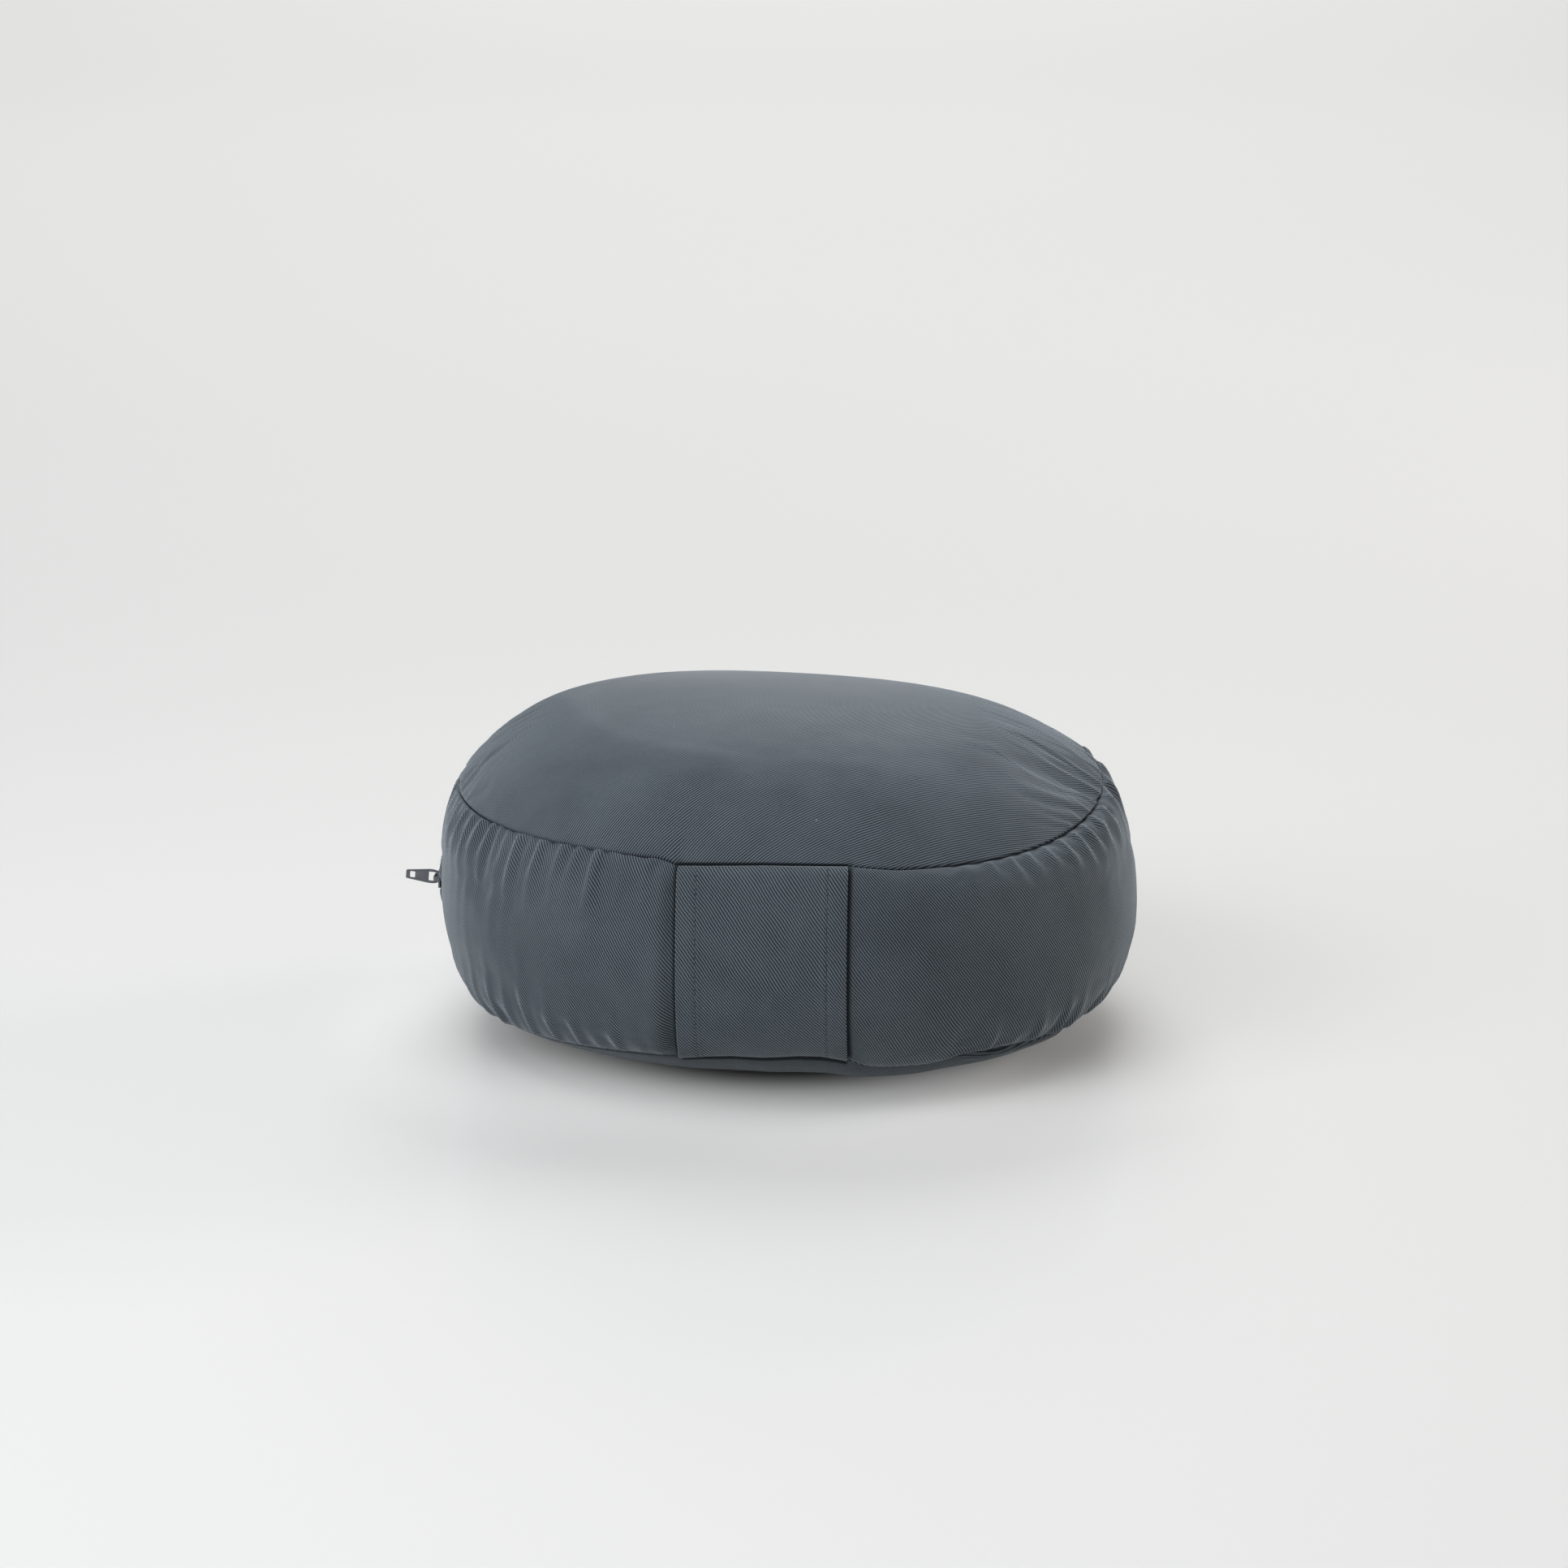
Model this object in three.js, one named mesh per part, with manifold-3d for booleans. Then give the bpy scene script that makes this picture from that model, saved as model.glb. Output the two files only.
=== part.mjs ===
// Round meditation cushion: a filled twill cover with a gathered side band, a carry strap and a zip.
import * as THREE from "three";
import { ParametricGeometry } from "three/addons/geometries/ParametricGeometry.js";
import { mergeVertices } from "three/addons/utils/BufferGeometryUtils.js";
import Module from "manifold-3d";

const wasm = await Module();
wasm.setup();

// Sizes are in millimetres. The cushion rests on z = 0 and its strap faces -Y.
// Angles round the cushion are in degrees from the strap, positive towards +X.
const BELLY_RADIUS = 181;
const BELLY_HEIGHT = 69;
const TOP_SEAM_RADIUS = 166;
const TOP_SEAM_HEIGHT = 126.5;
const CROWN_RISE = 46;
const CROWN_DOME = 0.4;
const CROWN_LEAN = 6;
const BASE_SEAM_RADIUS = 162.5;
const BASE_SEAM_HEIGHT = 21;
const REST_RADIUS = 92;

const STRAP_WIDTH = 84;
const STRAP_THICKNESS = 2.4;
const STRAP_GAP = 0.6;
const STRAP_SEAM_INSET = 0.08;

const ZIP_HEIGHT = 73;
const ZIP_SLIDER_TURN = -88;
const ZIP_FAR_TURN = -250;
const ZIP_CHAIN_WIDTH = 6.4;
const ZIP_CHAIN_THICKNESS = 1.2;
const ZIP_GAP = 0.4;

// The cover is a grid of columns round the cushion and rows up its section.
const COLUMNS = 240;
const CROWN_ROWS = 7;
const BAND_ROWS = 12;
const BASE_ROWS = 4;

// The section's sizes and the waves that change each of them round the cushion. The filling is
// fullest on the left, and the base seam is drawn up in front, where the strap ends.
const FULL_SIDE = -86;
const SECTION = {
  topRadius: { mean: TOP_SEAM_RADIUS, waves: [{ order: 1, swing: 4.2, peak: FULL_SIDE }] },
  topHeight: {
    mean: TOP_SEAM_HEIGHT,
    waves: [{ order: 2, swing: 3.6, peak: -64 }, { order: 3, swing: 3.2, peak: -3 }],
  },
  crownPower: {
    mean: 6.4,
    waves: [{ order: 1, swing: 1.8, peak: FULL_SIDE }, { order: 2, swing: 0.7, peak: 90 }],
  },
  bellyRadius: {
    mean: BELLY_RADIUS,
    waves: [{ order: 2, swing: 0.8, peak: 20 }, { order: 3, swing: 0.6, peak: -40 }],
  },
  bellyHeight: { mean: BELLY_HEIGHT, waves: [{ order: 1, swing: 4.5, peak: FULL_SIDE }] },
  baseRadius: {
    mean: BASE_SEAM_RADIUS,
    waves: [{ order: 2, swing: 3.5, peak: 0 }, { order: 4, swing: 3, peak: 45 }],
  },
  baseHeight: {
    mean: BASE_SEAM_HEIGHT,
    waves: [
      { order: 1, swing: 4, peak: 0 },
      { order: 2, swing: 2, peak: 0 },
      { order: 3, swing: 0.7, peak: 0 },
    ],
  },
  baseSlopeShare: { mean: 0.68, waves: [{ order: 1, swing: 0.2, peak: -75 }] },
};

// The band swells out from each seam to the belly, a little straighter than in an ellipse's 0.5.
const BAND_BULGE_POWER = 0.65;

// The base panel runs up from the resting circle in a shallow slope and a steep rolled rim.
const BASE_SLOPE_POWER = 1.1;
const BASE_RIM_POWER = 8;

// Gathers: where the cloth is eased into a seam, how many folds lie there, how far the fullest
// fold stands proud and how far from the seam the longest one runs out.
const BAND_TOP_GATHERS = [
  { from: -82, to: -15, folds: 14, depth: 2.4, reach: 36 },
  { from: 32, to: 90, folds: 13, depth: 2.0, reach: 28 },
  { from: 90, to: 278, folds: 38, depth: 2.0, reach: 30 },
];
const BAND_BASE_GATHERS = [
  { from: -78, to: -15, folds: 14, depth: 2.2, reach: 30 },
  { from: 36, to: 84, folds: 11, depth: 2.2, reach: 26 },
  { from: 84, to: 282, folds: 40, depth: 2.0, reach: 28 },
];
const CROWN_GATHERS = [
  { from: 70, to: 124, folds: 10, depth: 1.5, reach: 26 },
  { from: -106, to: -70, folds: 6, depth: 0.9, reach: 20 },
];
const FOLD_SHOULDER = 4;
const FOLD_ROUNDNESS = 0.8;
const FOLD_DEPTH_SPREAD = 0.45;
const FOLD_REACH_SPREAD = 0.5;
const FOLD_DRIFT = [{ cycles: 2, swing: 0.02 }, { cycles: 5, swing: 0.012 }];

// Beside the strap's left edge the band tucks in.
const TUCK_TURN = -16;
const TUCK_SPREAD = 2.8;
const TUCK_DEPTH = 3;

const { degToRad, radToDeg, lerp, smoothstep, euclideanModulo } = THREE.MathUtils;

// A wave round the cushion, 1 at its peak.
function wave(turn, order, peak) {
  return Math.cos(degToRad(order * (turn - peak)));
}

// A steady pick between 0 and 1 for each fold, so that no two folds are alike.
function uneven(index) {
  const spread = Math.sin(index * 12.9898) * 43758.5453;
  return spread - Math.floor(spread);
}

// The section's sizes at one angle.
function sectionAt(turn) {
  const section = {};
  for (const [name, { mean, waves }] of Object.entries(SECTION)) {
    const add = (sum, { order, swing, peak }) => sum + swing * wave(turn, order, peak);
    section[name] = waves.reduce(add, mean);
  }
  return section;
}

// How far the gathers of one seam stand proud, at an angle and a distance from that seam.
function gatherSwell(gathers, turn, distance) {
  let swell = 0;
  for (const zone of gathers) {
    const along = euclideanModulo(turn - zone.from, 360) / (zone.to - zone.from);
    if (along >= 1) continue;
    const drift = FOLD_DRIFT.reduce(
      (sum, { cycles, swing }) => sum + swing * Math.sin(2 * Math.PI * cycles * along), 0);
    const count = (along + drift) * zone.folds;
    const fold = Math.floor(count);
    const ridge = Math.abs(Math.sin(Math.PI * count)) ** FOLD_ROUNDNESS;
    const depth = zone.depth * (1 - FOLD_DEPTH_SPREAD * uneven(fold + zone.from));
    const reach = zone.reach * (1 - FOLD_REACH_SPREAD * uneven(fold + zone.to));
    const rise = smoothstep(distance, 0, FOLD_SHOULDER);
    const fade = 1 - smoothstep(distance, FOLD_SHOULDER, reach);
    swell += depth * ridge * rise * fade;
  }
  return swell;
}

// Places a point at an angle, a distance from the upright axis and a height.
function placeAt(target, turn, radius, height) {
  const angle = degToRad(turn);
  return target.set(radius * Math.sin(angle), -radius * Math.cos(angle), height);
}

// A point on the side band at an angle and a height, lifted off the cloth.
function bandPoint(turn, height, lift, target) {
  const section = sectionAt(turn);
  const above = height >= section.bellyHeight;
  const seamHeight = above ? section.topHeight : section.baseHeight;
  const seamRadius = above ? section.topRadius : section.baseRadius;
  const toSeam = Math.min((height - section.bellyHeight) / (seamHeight - section.bellyHeight), 1);
  const bulge = (1 - toSeam * toSeam) ** BAND_BULGE_POWER;
  const tuck = TUCK_DEPTH * bulge * Math.exp(-(((turn - TUCK_TURN) / TUCK_SPREAD) ** 2));
  const swell = gatherSwell(BAND_TOP_GATHERS, turn, section.topHeight - height)
    + gatherSwell(BAND_BASE_GATHERS, turn, height - section.baseHeight);
  const radius = lerp(seamRadius, section.bellyRadius, bulge) + swell - tuck + lift;
  return placeAt(target, turn, radius, height);
}

// A height on the band from its place between the seams: 0 at the top seam, 1 at the base seam.
function bandHeight(turn, along) {
  const section = sectionAt(turn);
  const swing = Math.cos(Math.PI * along);
  const seamHeight = swing >= 0 ? section.topHeight : section.baseHeight;
  return section.bellyHeight + Math.abs(swing) * (seamHeight - section.bellyHeight);
}

// A point on the crown, 0 at its centre and 1 at the top seam: a low dome with a steep shoulder.
function crownPoint(turn, along, target) {
  const section = sectionAt(turn);
  const radius = section.topRadius * along;
  const swell = gatherSwell(CROWN_GATHERS, turn, section.topRadius - radius);
  const rim = lerp(TOP_SEAM_HEIGHT, section.topHeight, along * along);
  const lean = CROWN_LEAN * wave(turn, 1, FULL_SIDE) * along * (1 - along ** 4);
  const fall = lerp(along ** section.crownPower, along * along, CROWN_DOME);
  const height = rim + CROWN_RISE * (1 - fall) + lean + swell;
  return placeAt(target, turn, radius, height);
}

// A point on the base panel, 0 at the resting circle and 1 at the base seam.
function basePoint(turn, along, target) {
  const section = sectionAt(turn);
  const radius = lerp(REST_RADIUS, section.baseRadius, along);
  const slope = section.baseSlopeShare * along ** BASE_SLOPE_POWER;
  const rim = (1 - section.baseSlopeShare) * along ** BASE_RIM_POWER;
  return placeAt(target, turn, radius, section.baseHeight * (slope + rim));
}

// Rows of the cover, from the middle of the flat base up to the middle of the crown.
function coverRows() {
  const rows = [(turn, target) => target.set(0, 0, 0)];
  for (let row = 0; row < BASE_ROWS; row += 1) {
    const along = Math.sin((row / BASE_ROWS) * (Math.PI / 2));
    rows.push((turn, target) => basePoint(turn, along, target));
  }
  for (let row = BAND_ROWS; row > 0; row -= 1) {
    rows.push((turn, target) => bandPoint(turn, bandHeight(turn, row / BAND_ROWS), 0, target));
  }
  for (let row = CROWN_ROWS; row >= 0; row -= 1) {
    const along = Math.sin((row / CROWN_ROWS) * (Math.PI / 2));
    rows.push((turn, target) => crownPoint(turn, along, target));
  }
  return rows;
}

// The filled cover, one closed skin with its crown, drawn-in sides and gathered seams.
function coverGeometry() {
  const rows = coverRows();
  const last = rows.length - 1;
  const place = (across, up, target) => {
    const turn = Math.round(across * COLUMNS) * (360 / COLUMNS) - 180;
    rows[Math.round(up * last)](turn, target);
  };
  return new ParametricGeometry(place, COLUMNS, last);
}

// Wraps a flat strip, drawn facing -Y, round the band.
function wrapOnBand(strip, turnOf, heightOf) {
  const position = strip.attributes.position;
  const point = new THREE.Vector3();
  for (let i = 0; i < position.count; i += 1) {
    point.fromBufferAttribute(position, i);
    const turn = turnOf(point.x, point.z);
    bandPoint(turn, heightOf(point.z, turn), -point.y, point);
    position.setXYZ(i, point.x, point.y, point.z);
  }
  return strip;
}

// The strap runs from seam to seam over the belly, one width all the way, its ends caught in both seams.
function strapGeometry() {
  const strip = new THREE.BoxGeometry(STRAP_WIDTH, STRAP_THICKNESS, 1, 14, 1, 20);
  strip.translate(0, -STRAP_GAP - STRAP_THICKNESS / 2, 0.5);
  const heightOf = (z, turn) => bandHeight(turn, lerp(1 - STRAP_SEAM_INSET, STRAP_SEAM_INSET, z));
  const middle = new THREE.Vector3();
  const turnOf = (x, z) => radToDeg(x / -bandPoint(0, heightOf(z, 0), 0, middle).y);
  return wrapOnBand(strip, turnOf, heightOf);
}

// The closed coil of the zip, round the back at half the band's height.
function zipChainGeometry() {
  const length = degToRad(ZIP_SLIDER_TURN - ZIP_FAR_TURN) * BELLY_RADIUS;
  const strip = new THREE.BoxGeometry(length, ZIP_CHAIN_THICKNESS, ZIP_CHAIN_WIDTH, 110, 1, 1);
  strip.translate(0, -ZIP_GAP - ZIP_CHAIN_THICKNESS / 2, ZIP_HEIGHT);
  const middle = (ZIP_SLIDER_TURN + ZIP_FAR_TURN) / 2;
  return wrapOnBand(strip, (x) => middle + radToDeg(x / BELLY_RADIUS), (z) => z);
}

// Slider, measured outwards from the band: a plate over the coil, two side walls and a bridge.
const SLIDER_LENGTH = 12;
const SLIDER_WIDTH = 10.4;
const SLIDER_NOSE_WIDTH = 6.8;
const SLIDER_TAIL_WIDTH = 8.8;
const SLIDER_WALL = 1.5;
const SLIDER_UNDERSIDE = ZIP_GAP + ZIP_CHAIN_THICKNESS + 0.35;
const SLIDER_TOP = SLIDER_UNDERSIDE + 1;
const BRIDGE_LENGTH = 8.4;
const BRIDGE_WIDTH = 2.4;
const BRIDGE_RISE = 2.8;
const BRIDGE_BAR = 0.85;
const BRIDGE_ROOT = 0.4;

// Pull: a tapered tab standing out of the slider, its tip a little raised, its end bar under the bridge.
const PULL_START = SLIDER_TOP + 0.6;
const PULL_SHOULDER = PULL_START + 3;
const PULL_NECK = PULL_START + 5;
const PULL_TIP = 20.6;
const PULL_THICKNESS = 1.3;
const PULL_BASE_WIDTH = 6.8;
const PULL_WIDTH = 7.4;
const PULL_TIP_WIDTH = 4.6;
const PULL_CORNER = 0.9;
const PULL_END_BAR = 0.9;
const PULL_TILT = 5;
const EYE = { length: 4.2, width: 4.9, corner: 0.5 };
const TIP_EYE = { from: 15.8, length: 2.7, width: 3.4, corner: 0.5 };

function solidOf(geometry) {
  const bare = geometry.clone();
  bare.deleteAttribute("normal");
  bare.deleteAttribute("uv");
  const merged = mergeVertices(bare, 1e-3);
  const vertProperties = new Float32Array(merged.attributes.position.array);
  const triVerts = new Uint32Array(merged.index.array);
  return new wasm.Manifold(new wasm.Mesh({ numProp: 3, vertProperties, triVerts }));
}

function geometryOf(solid) {
  const mesh = solid.getMesh();
  const geometry = new THREE.BufferGeometry();
  geometry.setAttribute("position", new THREE.BufferAttribute(mesh.vertProperties, 3));
  geometry.setIndex(new THREE.BufferAttribute(mesh.triVerts, 1));
  geometry.computeVertexNormals();
  return geometry;
}

// A rectangle with rounded corners, centred in x, from one y to another.
function roundedRectangle(path, width, y0, y1, corner) {
  const x = width / 2;
  path.moveTo(-x + corner, y0);
  path.lineTo(x - corner, y0);
  path.quadraticCurveTo(x, y0, x, y0 + corner);
  path.lineTo(x, y1 - corner);
  path.quadraticCurveTo(x, y1, x - corner, y1);
  path.lineTo(-x + corner, y1);
  path.quadraticCurveTo(-x, y1, -x, y1 - corner);
  path.lineTo(-x, y0 + corner);
  path.quadraticCurveTo(-x, y0, -x + corner, y0);
  return path;
}

// An outline in x and outwards distance, given thickness along z, with outwards facing -Y.
function standingPlate(shape, thickness) {
  const plate = new THREE.ExtrudeGeometry(shape, { depth: thickness, bevelEnabled: false, curveSegments: 6 });
  plate.translate(0, 0, -thickness / 2);
  plate.rotateX(Math.PI);
  return plate;
}

// The slider's body, seen from outside: a rounded nose that narrows to a straight tail.
function sliderBody() {
  const end = SLIDER_LENGTH / 2;
  const shoulder = -SLIDER_LENGTH / 4;
  const side = SLIDER_WIDTH / 2;
  const outline = new THREE.Shape();
  outline.moveTo(-end, -SLIDER_NOSE_WIDTH / 2);
  outline.quadraticCurveTo(-end, -side, shoulder, -side);
  outline.lineTo(end, -SLIDER_TAIL_WIDTH / 2);
  outline.lineTo(end, SLIDER_TAIL_WIDTH / 2);
  outline.lineTo(shoulder, side);
  outline.quadraticCurveTo(-end, side, -end, SLIDER_NOSE_WIDTH / 2);
  const depth = SLIDER_TOP - ZIP_GAP;
  const body = new THREE.ExtrudeGeometry(outline, { depth, bevelEnabled: false, curveSegments: 5 });
  body.rotateX(Math.PI / 2);
  body.translate(0, -ZIP_GAP, 0);
  return body;
}

// The bridge that the pull hooks on, an arch along the zip.
function sliderBridge() {
  const arch = roundedRectangle(
    new THREE.Shape(), BRIDGE_LENGTH, SLIDER_TOP - BRIDGE_ROOT, SLIDER_TOP + BRIDGE_RISE, BRIDGE_BAR);
  const eyeLength = BRIDGE_LENGTH - 2 * BRIDGE_BAR;
  const eyeTop = SLIDER_TOP + BRIDGE_RISE - BRIDGE_BAR;
  arch.holes.push(roundedRectangle(
    new THREE.Path(), eyeLength, SLIDER_TOP - BRIDGE_ROOT / 2, eyeTop, BRIDGE_BAR / 2));
  return standingPlate(arch, BRIDGE_WIDTH);
}

function zipSliderGeometry() {
  const channelWidth = SLIDER_WIDTH - 2 * SLIDER_WALL;
  const channel = new THREE.BoxGeometry(2 * SLIDER_LENGTH, 2 * SLIDER_UNDERSIDE, channelWidth);
  return geometryOf(solidOf(sliderBody()).subtract(solidOf(channel)).add(solidOf(sliderBridge())));
}

function zipPullGeometry() {
  const base = PULL_BASE_WIDTH / 2;
  const wide = PULL_WIDTH / 2;
  const tip = PULL_TIP_WIDTH / 2;
  const outline = new THREE.Shape();
  outline.moveTo(-base + PULL_CORNER, PULL_START);
  outline.lineTo(base - PULL_CORNER, PULL_START);
  outline.quadraticCurveTo(base, PULL_START, wide, PULL_SHOULDER);
  outline.lineTo(wide, PULL_NECK);
  outline.lineTo(tip, PULL_TIP - PULL_CORNER);
  outline.quadraticCurveTo(tip, PULL_TIP, tip - PULL_CORNER, PULL_TIP);
  outline.lineTo(-tip + PULL_CORNER, PULL_TIP);
  outline.quadraticCurveTo(-tip, PULL_TIP, -tip, PULL_TIP - PULL_CORNER);
  outline.lineTo(-wide, PULL_NECK);
  outline.lineTo(-wide, PULL_SHOULDER);
  outline.quadraticCurveTo(-base, PULL_START, -base + PULL_CORNER, PULL_START);
  const eyeFrom = PULL_START + PULL_END_BAR;
  const tipEyeTo = TIP_EYE.from + TIP_EYE.length;
  outline.holes.push(
    roundedRectangle(new THREE.Path(), EYE.width, eyeFrom, eyeFrom + EYE.length, EYE.corner),
    roundedRectangle(new THREE.Path(), TIP_EYE.width, TIP_EYE.from, tipEyeTo, TIP_EYE.corner),
  );
  const tab = standingPlate(outline, PULL_THICKNESS);
  tab.rotateY(Math.PI / 2);
  tab.translate(0, PULL_START, 0);
  tab.rotateX(degToRad(-PULL_TILT));
  tab.translate(0, -PULL_START, 0);
  return tab;
}

const twill = new THREE.MeshStandardMaterial({ color: 0x555d66, roughness: 0.95, metalness: 0 });
const coil = new THREE.MeshStandardMaterial({ color: 0x454c54, roughness: 0.6, metalness: 0 });
const paintedMetal = new THREE.MeshStandardMaterial({ color: 0x5c6169, roughness: 0.45, metalness: 0.3 });

function piece(name, geometry, material) {
  const mesh = new THREE.Mesh(geometry, material);
  mesh.name = name;
  return mesh;
}

// The slider and its pull sit over the end of the zip, on the band's surface.
const zipEnd = new THREE.Group();
const sliderTurn = ZIP_SLIDER_TURN - radToDeg(SLIDER_LENGTH / 2 / BELLY_RADIUS);
bandPoint(sliderTurn, ZIP_HEIGHT, 0, zipEnd.position);
zipEnd.rotation.z = degToRad(sliderTurn);
zipEnd.add(piece("zip_slider", zipSliderGeometry(), paintedMetal));
zipEnd.add(piece("zip_pull", zipPullGeometry(), paintedMetal));

const zafu = new THREE.Group();
zafu.add(piece("cushion", coverGeometry(), twill));
zafu.add(piece("carry_strap", strapGeometry(), twill));
zafu.add(piece("zip_chain", zipChainGeometry(), coil));
zafu.add(zipEnd);

export default zafu;
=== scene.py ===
"""Round zafu meditation cushion: a gathered twill cover over a firm filling, with a strap and a zip."""

import math

import bmesh
import bpy
import numpy as np
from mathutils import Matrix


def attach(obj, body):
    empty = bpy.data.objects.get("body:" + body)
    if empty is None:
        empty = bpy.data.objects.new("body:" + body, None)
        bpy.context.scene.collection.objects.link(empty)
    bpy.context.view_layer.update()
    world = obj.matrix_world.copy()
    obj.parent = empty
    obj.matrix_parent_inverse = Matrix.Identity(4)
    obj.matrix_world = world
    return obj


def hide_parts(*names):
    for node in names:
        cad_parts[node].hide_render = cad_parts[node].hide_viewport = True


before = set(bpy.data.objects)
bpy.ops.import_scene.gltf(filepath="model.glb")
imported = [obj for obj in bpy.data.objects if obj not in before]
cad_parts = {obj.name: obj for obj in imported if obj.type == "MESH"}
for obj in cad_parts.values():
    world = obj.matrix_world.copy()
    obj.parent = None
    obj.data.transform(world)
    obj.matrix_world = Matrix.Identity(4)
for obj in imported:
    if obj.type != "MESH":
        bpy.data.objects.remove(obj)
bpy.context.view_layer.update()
scene = bpy.context.scene

# Camera. It stands three metres off, a little above the cushion and just right of the strap,
# and looks past the cushion's top, so that the cushion sits low in a square frame.
CAMERA_DISTANCE = 3.0
CAMERA_TURN = math.radians(4.4)
CAMERA_ELEVATION = math.radians(16.7)
FRAME_PIXELS = 1932
PIXEL_AT_CUSHION = 0.0004248
FOOT_PIXEL = (972, 1255)


def in_scene(name, data):
    """A new object of this data, in the scene at the origin."""
    made = bpy.data.objects.new(name, data)
    scene.collection.objects.link(made)
    return made


focal_pixels = CAMERA_DISTANCE / PIXEL_AT_CUSHION
right_of_middle = math.atan((FOOT_PIXEL[0] - FRAME_PIXELS / 2) / focal_pixels)
below_middle = math.atan((FOOT_PIXEL[1] - FRAME_PIXELS / 2) / focal_pixels)
lens = bpy.data.cameras.new("camera")
lens.angle = 2 * math.atan(FRAME_PIXELS / 2 / focal_pixels)
lens.clip_end = 50
camera = in_scene("camera", lens)
camera_reach = CAMERA_DISTANCE * math.cos(CAMERA_ELEVATION)
camera.location = (
    camera_reach * math.sin(CAMERA_TURN),
    -camera_reach * math.cos(CAMERA_TURN),
    CAMERA_DISTANCE * math.sin(CAMERA_ELEVATION),
)
camera.rotation_euler = (
    math.pi / 2 - CAMERA_ELEVATION + below_middle,
    0,
    CAMERA_TURN + right_of_middle,
)
scene.camera = camera

# Room. A pale acrylic floor that mirrors the cushion a little and glows with painted light, more so in
# front and far off and not at the cushion's foot, a dim room, and large soft lights all round.
ROOM_COLOUR = (1.0, 0.99, 0.97)
ROOM_STRENGTH = 0.12
FLOOR_SIDE = 30
FLOOR_COLOUR = (0.74, 0.74, 0.735)
FLOOR_IOR = 1.45
FLOOR_ROUGHNESS = 0.1
FLOOR_CLOUD = 0.03
FLOOR_CLOUD_SCALE = 0.8
FLOOR_GLOW = 0.45
GLOW_FRONT = 0.73
GLOW_SIDE = 0.35
GLOW_LEAST = 0.09
# Where the glow changes, in metres from the middle, and for the front as a share of facing it.
FLOOR_FOOT = (0.090, 0.145)
FLOOR_NEAR = (0.165, 0.27)
FLOOR_FAR = (0.8, 3.6)
FLOOR_FRONT = (0.3, 0.9)


def new_node(tree, kind, settings=None, sockets=None):
    """A new node in a tree: its settings first, then the values or links of its sockets."""
    made = tree.nodes.new(kind)
    for name, value in (settings or {}).items():
        setattr(made, name, value)
    for name, value in (sockets or {}).items():
        if isinstance(value, bpy.types.NodeSocket):
            tree.links.new(value, made.inputs[name])
        else:
            made.inputs[name].default_value = value
    return made


class Shade:
    """A number that changes over a surface. Arithmetic on it adds Math nodes to its material."""

    def __init__(self, finish, socket):
        self.finish = finish
        self.socket = socket

    def math(self, operation, *terms):
        sockets = {index: term for index, term in enumerate(terms)}
        return self.finish.node("ShaderNodeMath", {"operation": operation}, sockets)

    def __add__(self, other):
        return self.math("ADD", self, other)

    def __sub__(self, other):
        return self.math("SUBTRACT", self, other)

    def __rsub__(self, other):
        return self.math("SUBTRACT", other, self)

    def __mul__(self, other):
        return self.math("MULTIPLY", self, other)

    def __truediv__(self, other):
        return self.math("DIVIDE", self, other)

    def __rtruediv__(self, other):
        return self.math("DIVIDE", other, self)

    def __gt__(self, other):
        return self.math("GREATER_THAN", self, other)

    def __lt__(self, other):
        return self.math("LESS_THAN", self, other)

    def wave(self):
        """A sine wave between 0 and 1, with this as its angle."""
        return 0.5 + 0.5 * self.math("SINE", self)

    def between(self, low, high):
        """0 up to low, 1 from high, and a smooth rise between them."""
        settings = {"interpolation_type": "SMOOTHSTEP"}
        sockets = {"Value": self, "From Min": low, "From Max": high}
        return self.finish.node("ShaderNodeMapRange", settings, sockets)

    __radd__ = __add__
    __rmul__ = __mul__


class Finish:
    """A material that is built node by node."""

    def __init__(self, name):
        self.material = bpy.data.materials.new(name)
        self.material.use_nodes = True
        self.tree = self.material.node_tree
        self.tree.nodes.clear()

    def node(self, kind, settings=None, sockets=None, output=0):
        """One output of a new node with these settings and sockets."""
        sockets = sockets or {}
        linked = {name: value.socket for name, value in sockets.items() if isinstance(value, Shade)}
        made = new_node(self.tree, kind, settings, {**sockets, **linked})
        return Shade(self, made.outputs[output]) if made.outputs else made

    def mix(self, factor, low, high):
        """A colour from low, where factor is 0, to high, where it is 1."""
        ends = [(*end, 1) if isinstance(end, tuple) else end for end in (low, high)]
        sockets = {0: factor, 6: ends[0], 7: ends[1]}
        return self.node("ShaderNodeMix", {"data_type": "RGBA"}, sockets, output=2)

    def noise(self, place, scale, detail=2.0, roughness=0.5):
        sockets = {"Vector": place, "Scale": scale, "Detail": detail, "Roughness": roughness}
        return self.node("ShaderNodeTexNoise", None, sockets)

    def bump(self, height, strength, distance):
        sockets = {"Height": height, "Strength": strength, "Distance": distance}
        return self.node("ShaderNodeBump", None, sockets)

    def object_place(self):
        return self.node("ShaderNodeTexCoord", None, None, output="Object")

    def axis(self, place, index):
        """One of the three numbers of a place."""
        return self.node("ShaderNodeSeparateXYZ", None, {0: place}, output=index)

    def shader(self, **sockets):
        """A Principled shader with these sockets, such as Base_Color."""
        named = {name.replace("_", " "): value for name, value in sockets.items()}
        for name, value in named.items():
            if isinstance(value, tuple) and len(value) == 3:
                named[name] = (*value, 1)
        return self.node("ShaderNodeBsdfPrincipled", None, named)

    def surface(self, shader):
        """Ends the material in this shader."""
        self.node("ShaderNodeOutputMaterial", None, {"Surface": shader})
        return self.material


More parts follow.
